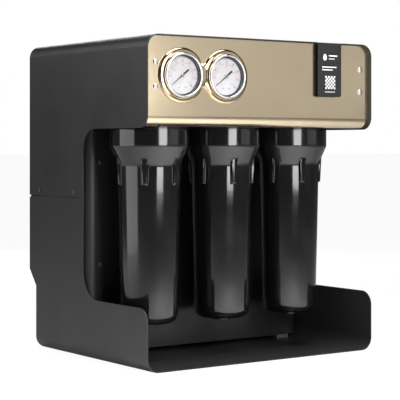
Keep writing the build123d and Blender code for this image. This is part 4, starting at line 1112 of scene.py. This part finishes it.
# places and sizes in metres, powers in watts, the floor's colour in sRGB from 0 to 255
studio = {
    "floor": (240, 240, 241), "floorReach": 40.0, "floorGlow": 0.9, "glowLevel": 1.05,
    "backdrop": 1.0, "fill": 0.09,
    "lights": [
        # name, place, what it faces, width and height, watts, spread in degrees
        ("leftSoftbox", (-1.5, 0.75, 1.1), (-0.1, 0.0, 0.4), (1.9, 1.0), 11.0, 180),
        ("leftStrip", (-1.5, 0.2, 0.36), (0, 0.0, 0.3), (1.25, 0.7), 6.0, 180),
        ("frontStrip", (-0.06, -0.86, 0.5), (-0.02, -0.06, 0.38), (0.34, 0.6), 6.5, 180),
        ("rightSoftbox", (1.35, -1.75, 0.85), (0, -0.1, 0.35), (1.3, 1.3), 3.6, 180),
        ("overhead", (0.0, -0.38, 1.15), (0, -0.42, 0.0), (0.7, 0.3), 4.5, 80),
        ("topWash", (0.1, 0.4, 2.0), (0, 0.1, 0.4), (1.6, 1.2), 7.0, 180),
        ("backSoftbox", (0.9, 1.8, 0.9), (0, 0.1, 0.25), (1.0, 1.2), 16.0, 180),
        ("frontFill", (-0.5, -2.6, 1.7), (0, 0, 0.2), (1.2, 0.8), 1.5, 180),
    ],
}


def softbox(name, spot, target, size, power, spread):
    lamp = bpy.data.lights.new(name, "AREA")
    lamp.shape = "RECTANGLE"
    lamp.size, lamp.size_y = size
    lamp.energy = power
    lamp.spread = math.radians(spread)
    light = bpy.data.objects.new(name, lamp)
    light.location = spot
    light.rotation_euler = (Vector(target) - Vector(spot)).to_track_quat("-Z", "Y").to_euler()
    light.visible_camera = False
    bpy.context.scene.collection.objects.link(light)


def buildStudio():
    reach = studio["floorReach"]
    floorFinish = bpy.data.materials.new("paleFloor")
    floorFinish.use_nodes = True
    tree = floorFinish.node_tree
    shader = tree.nodes["Principled BSDF"]
    shader.inputs["Base Color"].default_value = linear(studio["floor"])
    shader.inputs["Roughness"].default_value = 0.7
    shader.inputs["Specular IOR Level"].default_value = 0.1
    glow = tree.nodes.new("ShaderNodeEmission")
    glow.inputs["Strength"].default_value = studio["glowLevel"]
    blend = tree.nodes.new("ShaderNodeMixShader")
    seen = tree.nodes.new("ShaderNodeMath")
    seen.operation = "MULTIPLY"
    seen.inputs[1].default_value = studio["floorGlow"]
    tree.links.new(tree.nodes.new("ShaderNodeLightPath").outputs["Is Camera Ray"], seen.inputs[0])
    tree.links.new(seen.outputs["Value"], blend.inputs["Fac"])
    tree.links.new(shader.outputs["BSDF"], blend.inputs[1])
    tree.links.new(glow.outputs["Emission"], blend.inputs[2])
    tree.links.new(blend.outputs["Shader"], tree.nodes["Material Output"].inputs["Surface"])
    corners = [(-reach, -reach, 0), (reach, -reach, 0), (reach, reach, 0), (-reach, reach, 0)]
    floor = meshObject("studioFloor", corners, [(0, 1, 2, 3)], floorFinish)
    world = bpy.data.worlds.new("studioWorld")
    world.use_nodes = True
    air = world.node_tree
    level = air.nodes.new("ShaderNodeMapRange")
    level.inputs["To Min"].default_value = studio["fill"]
    level.inputs["To Max"].default_value = studio["backdrop"]
    air.links.new(air.nodes.new("ShaderNodeLightPath").outputs["Is Camera Ray"], level.inputs["Value"])
    air.nodes["Background"].inputs["Color"].default_value = (1, 1, 1, 1)
    air.links.new(level.outputs["Result"], air.nodes["Background"].inputs["Strength"])
    bpy.context.scene.world = world
    for light in studio["lights"]:
        softbox(*light)
    bpy.context.scene.view_settings.view_transform = "Standard"


# the camera stands level, turned "heading" degrees right of straight back; the shift lowers its view
view = {"place": (-1.3583, -1.9124, 0.3363), "heading": 35.417, "lens": 127.44, "shift": -0.13835}


def buildCamera():
    camera = bpy.data.cameras.new("camera")
    camera.lens = view["lens"]
    camera.sensor_width = 36.0
    camera.shift_y = view["shift"]
    camera.clip_end = 100.0
    seat = bpy.data.objects.new("camera", camera)
    seat.location = view["place"]
    seat.rotation_euler = (math.pi / 2, 0, -math.radians(view["heading"]))
    bpy.context.scene.collection.objects.link(seat)
    bpy.context.scene.camera = seat


buildStudio()
buildCamera()
print("studio ready")
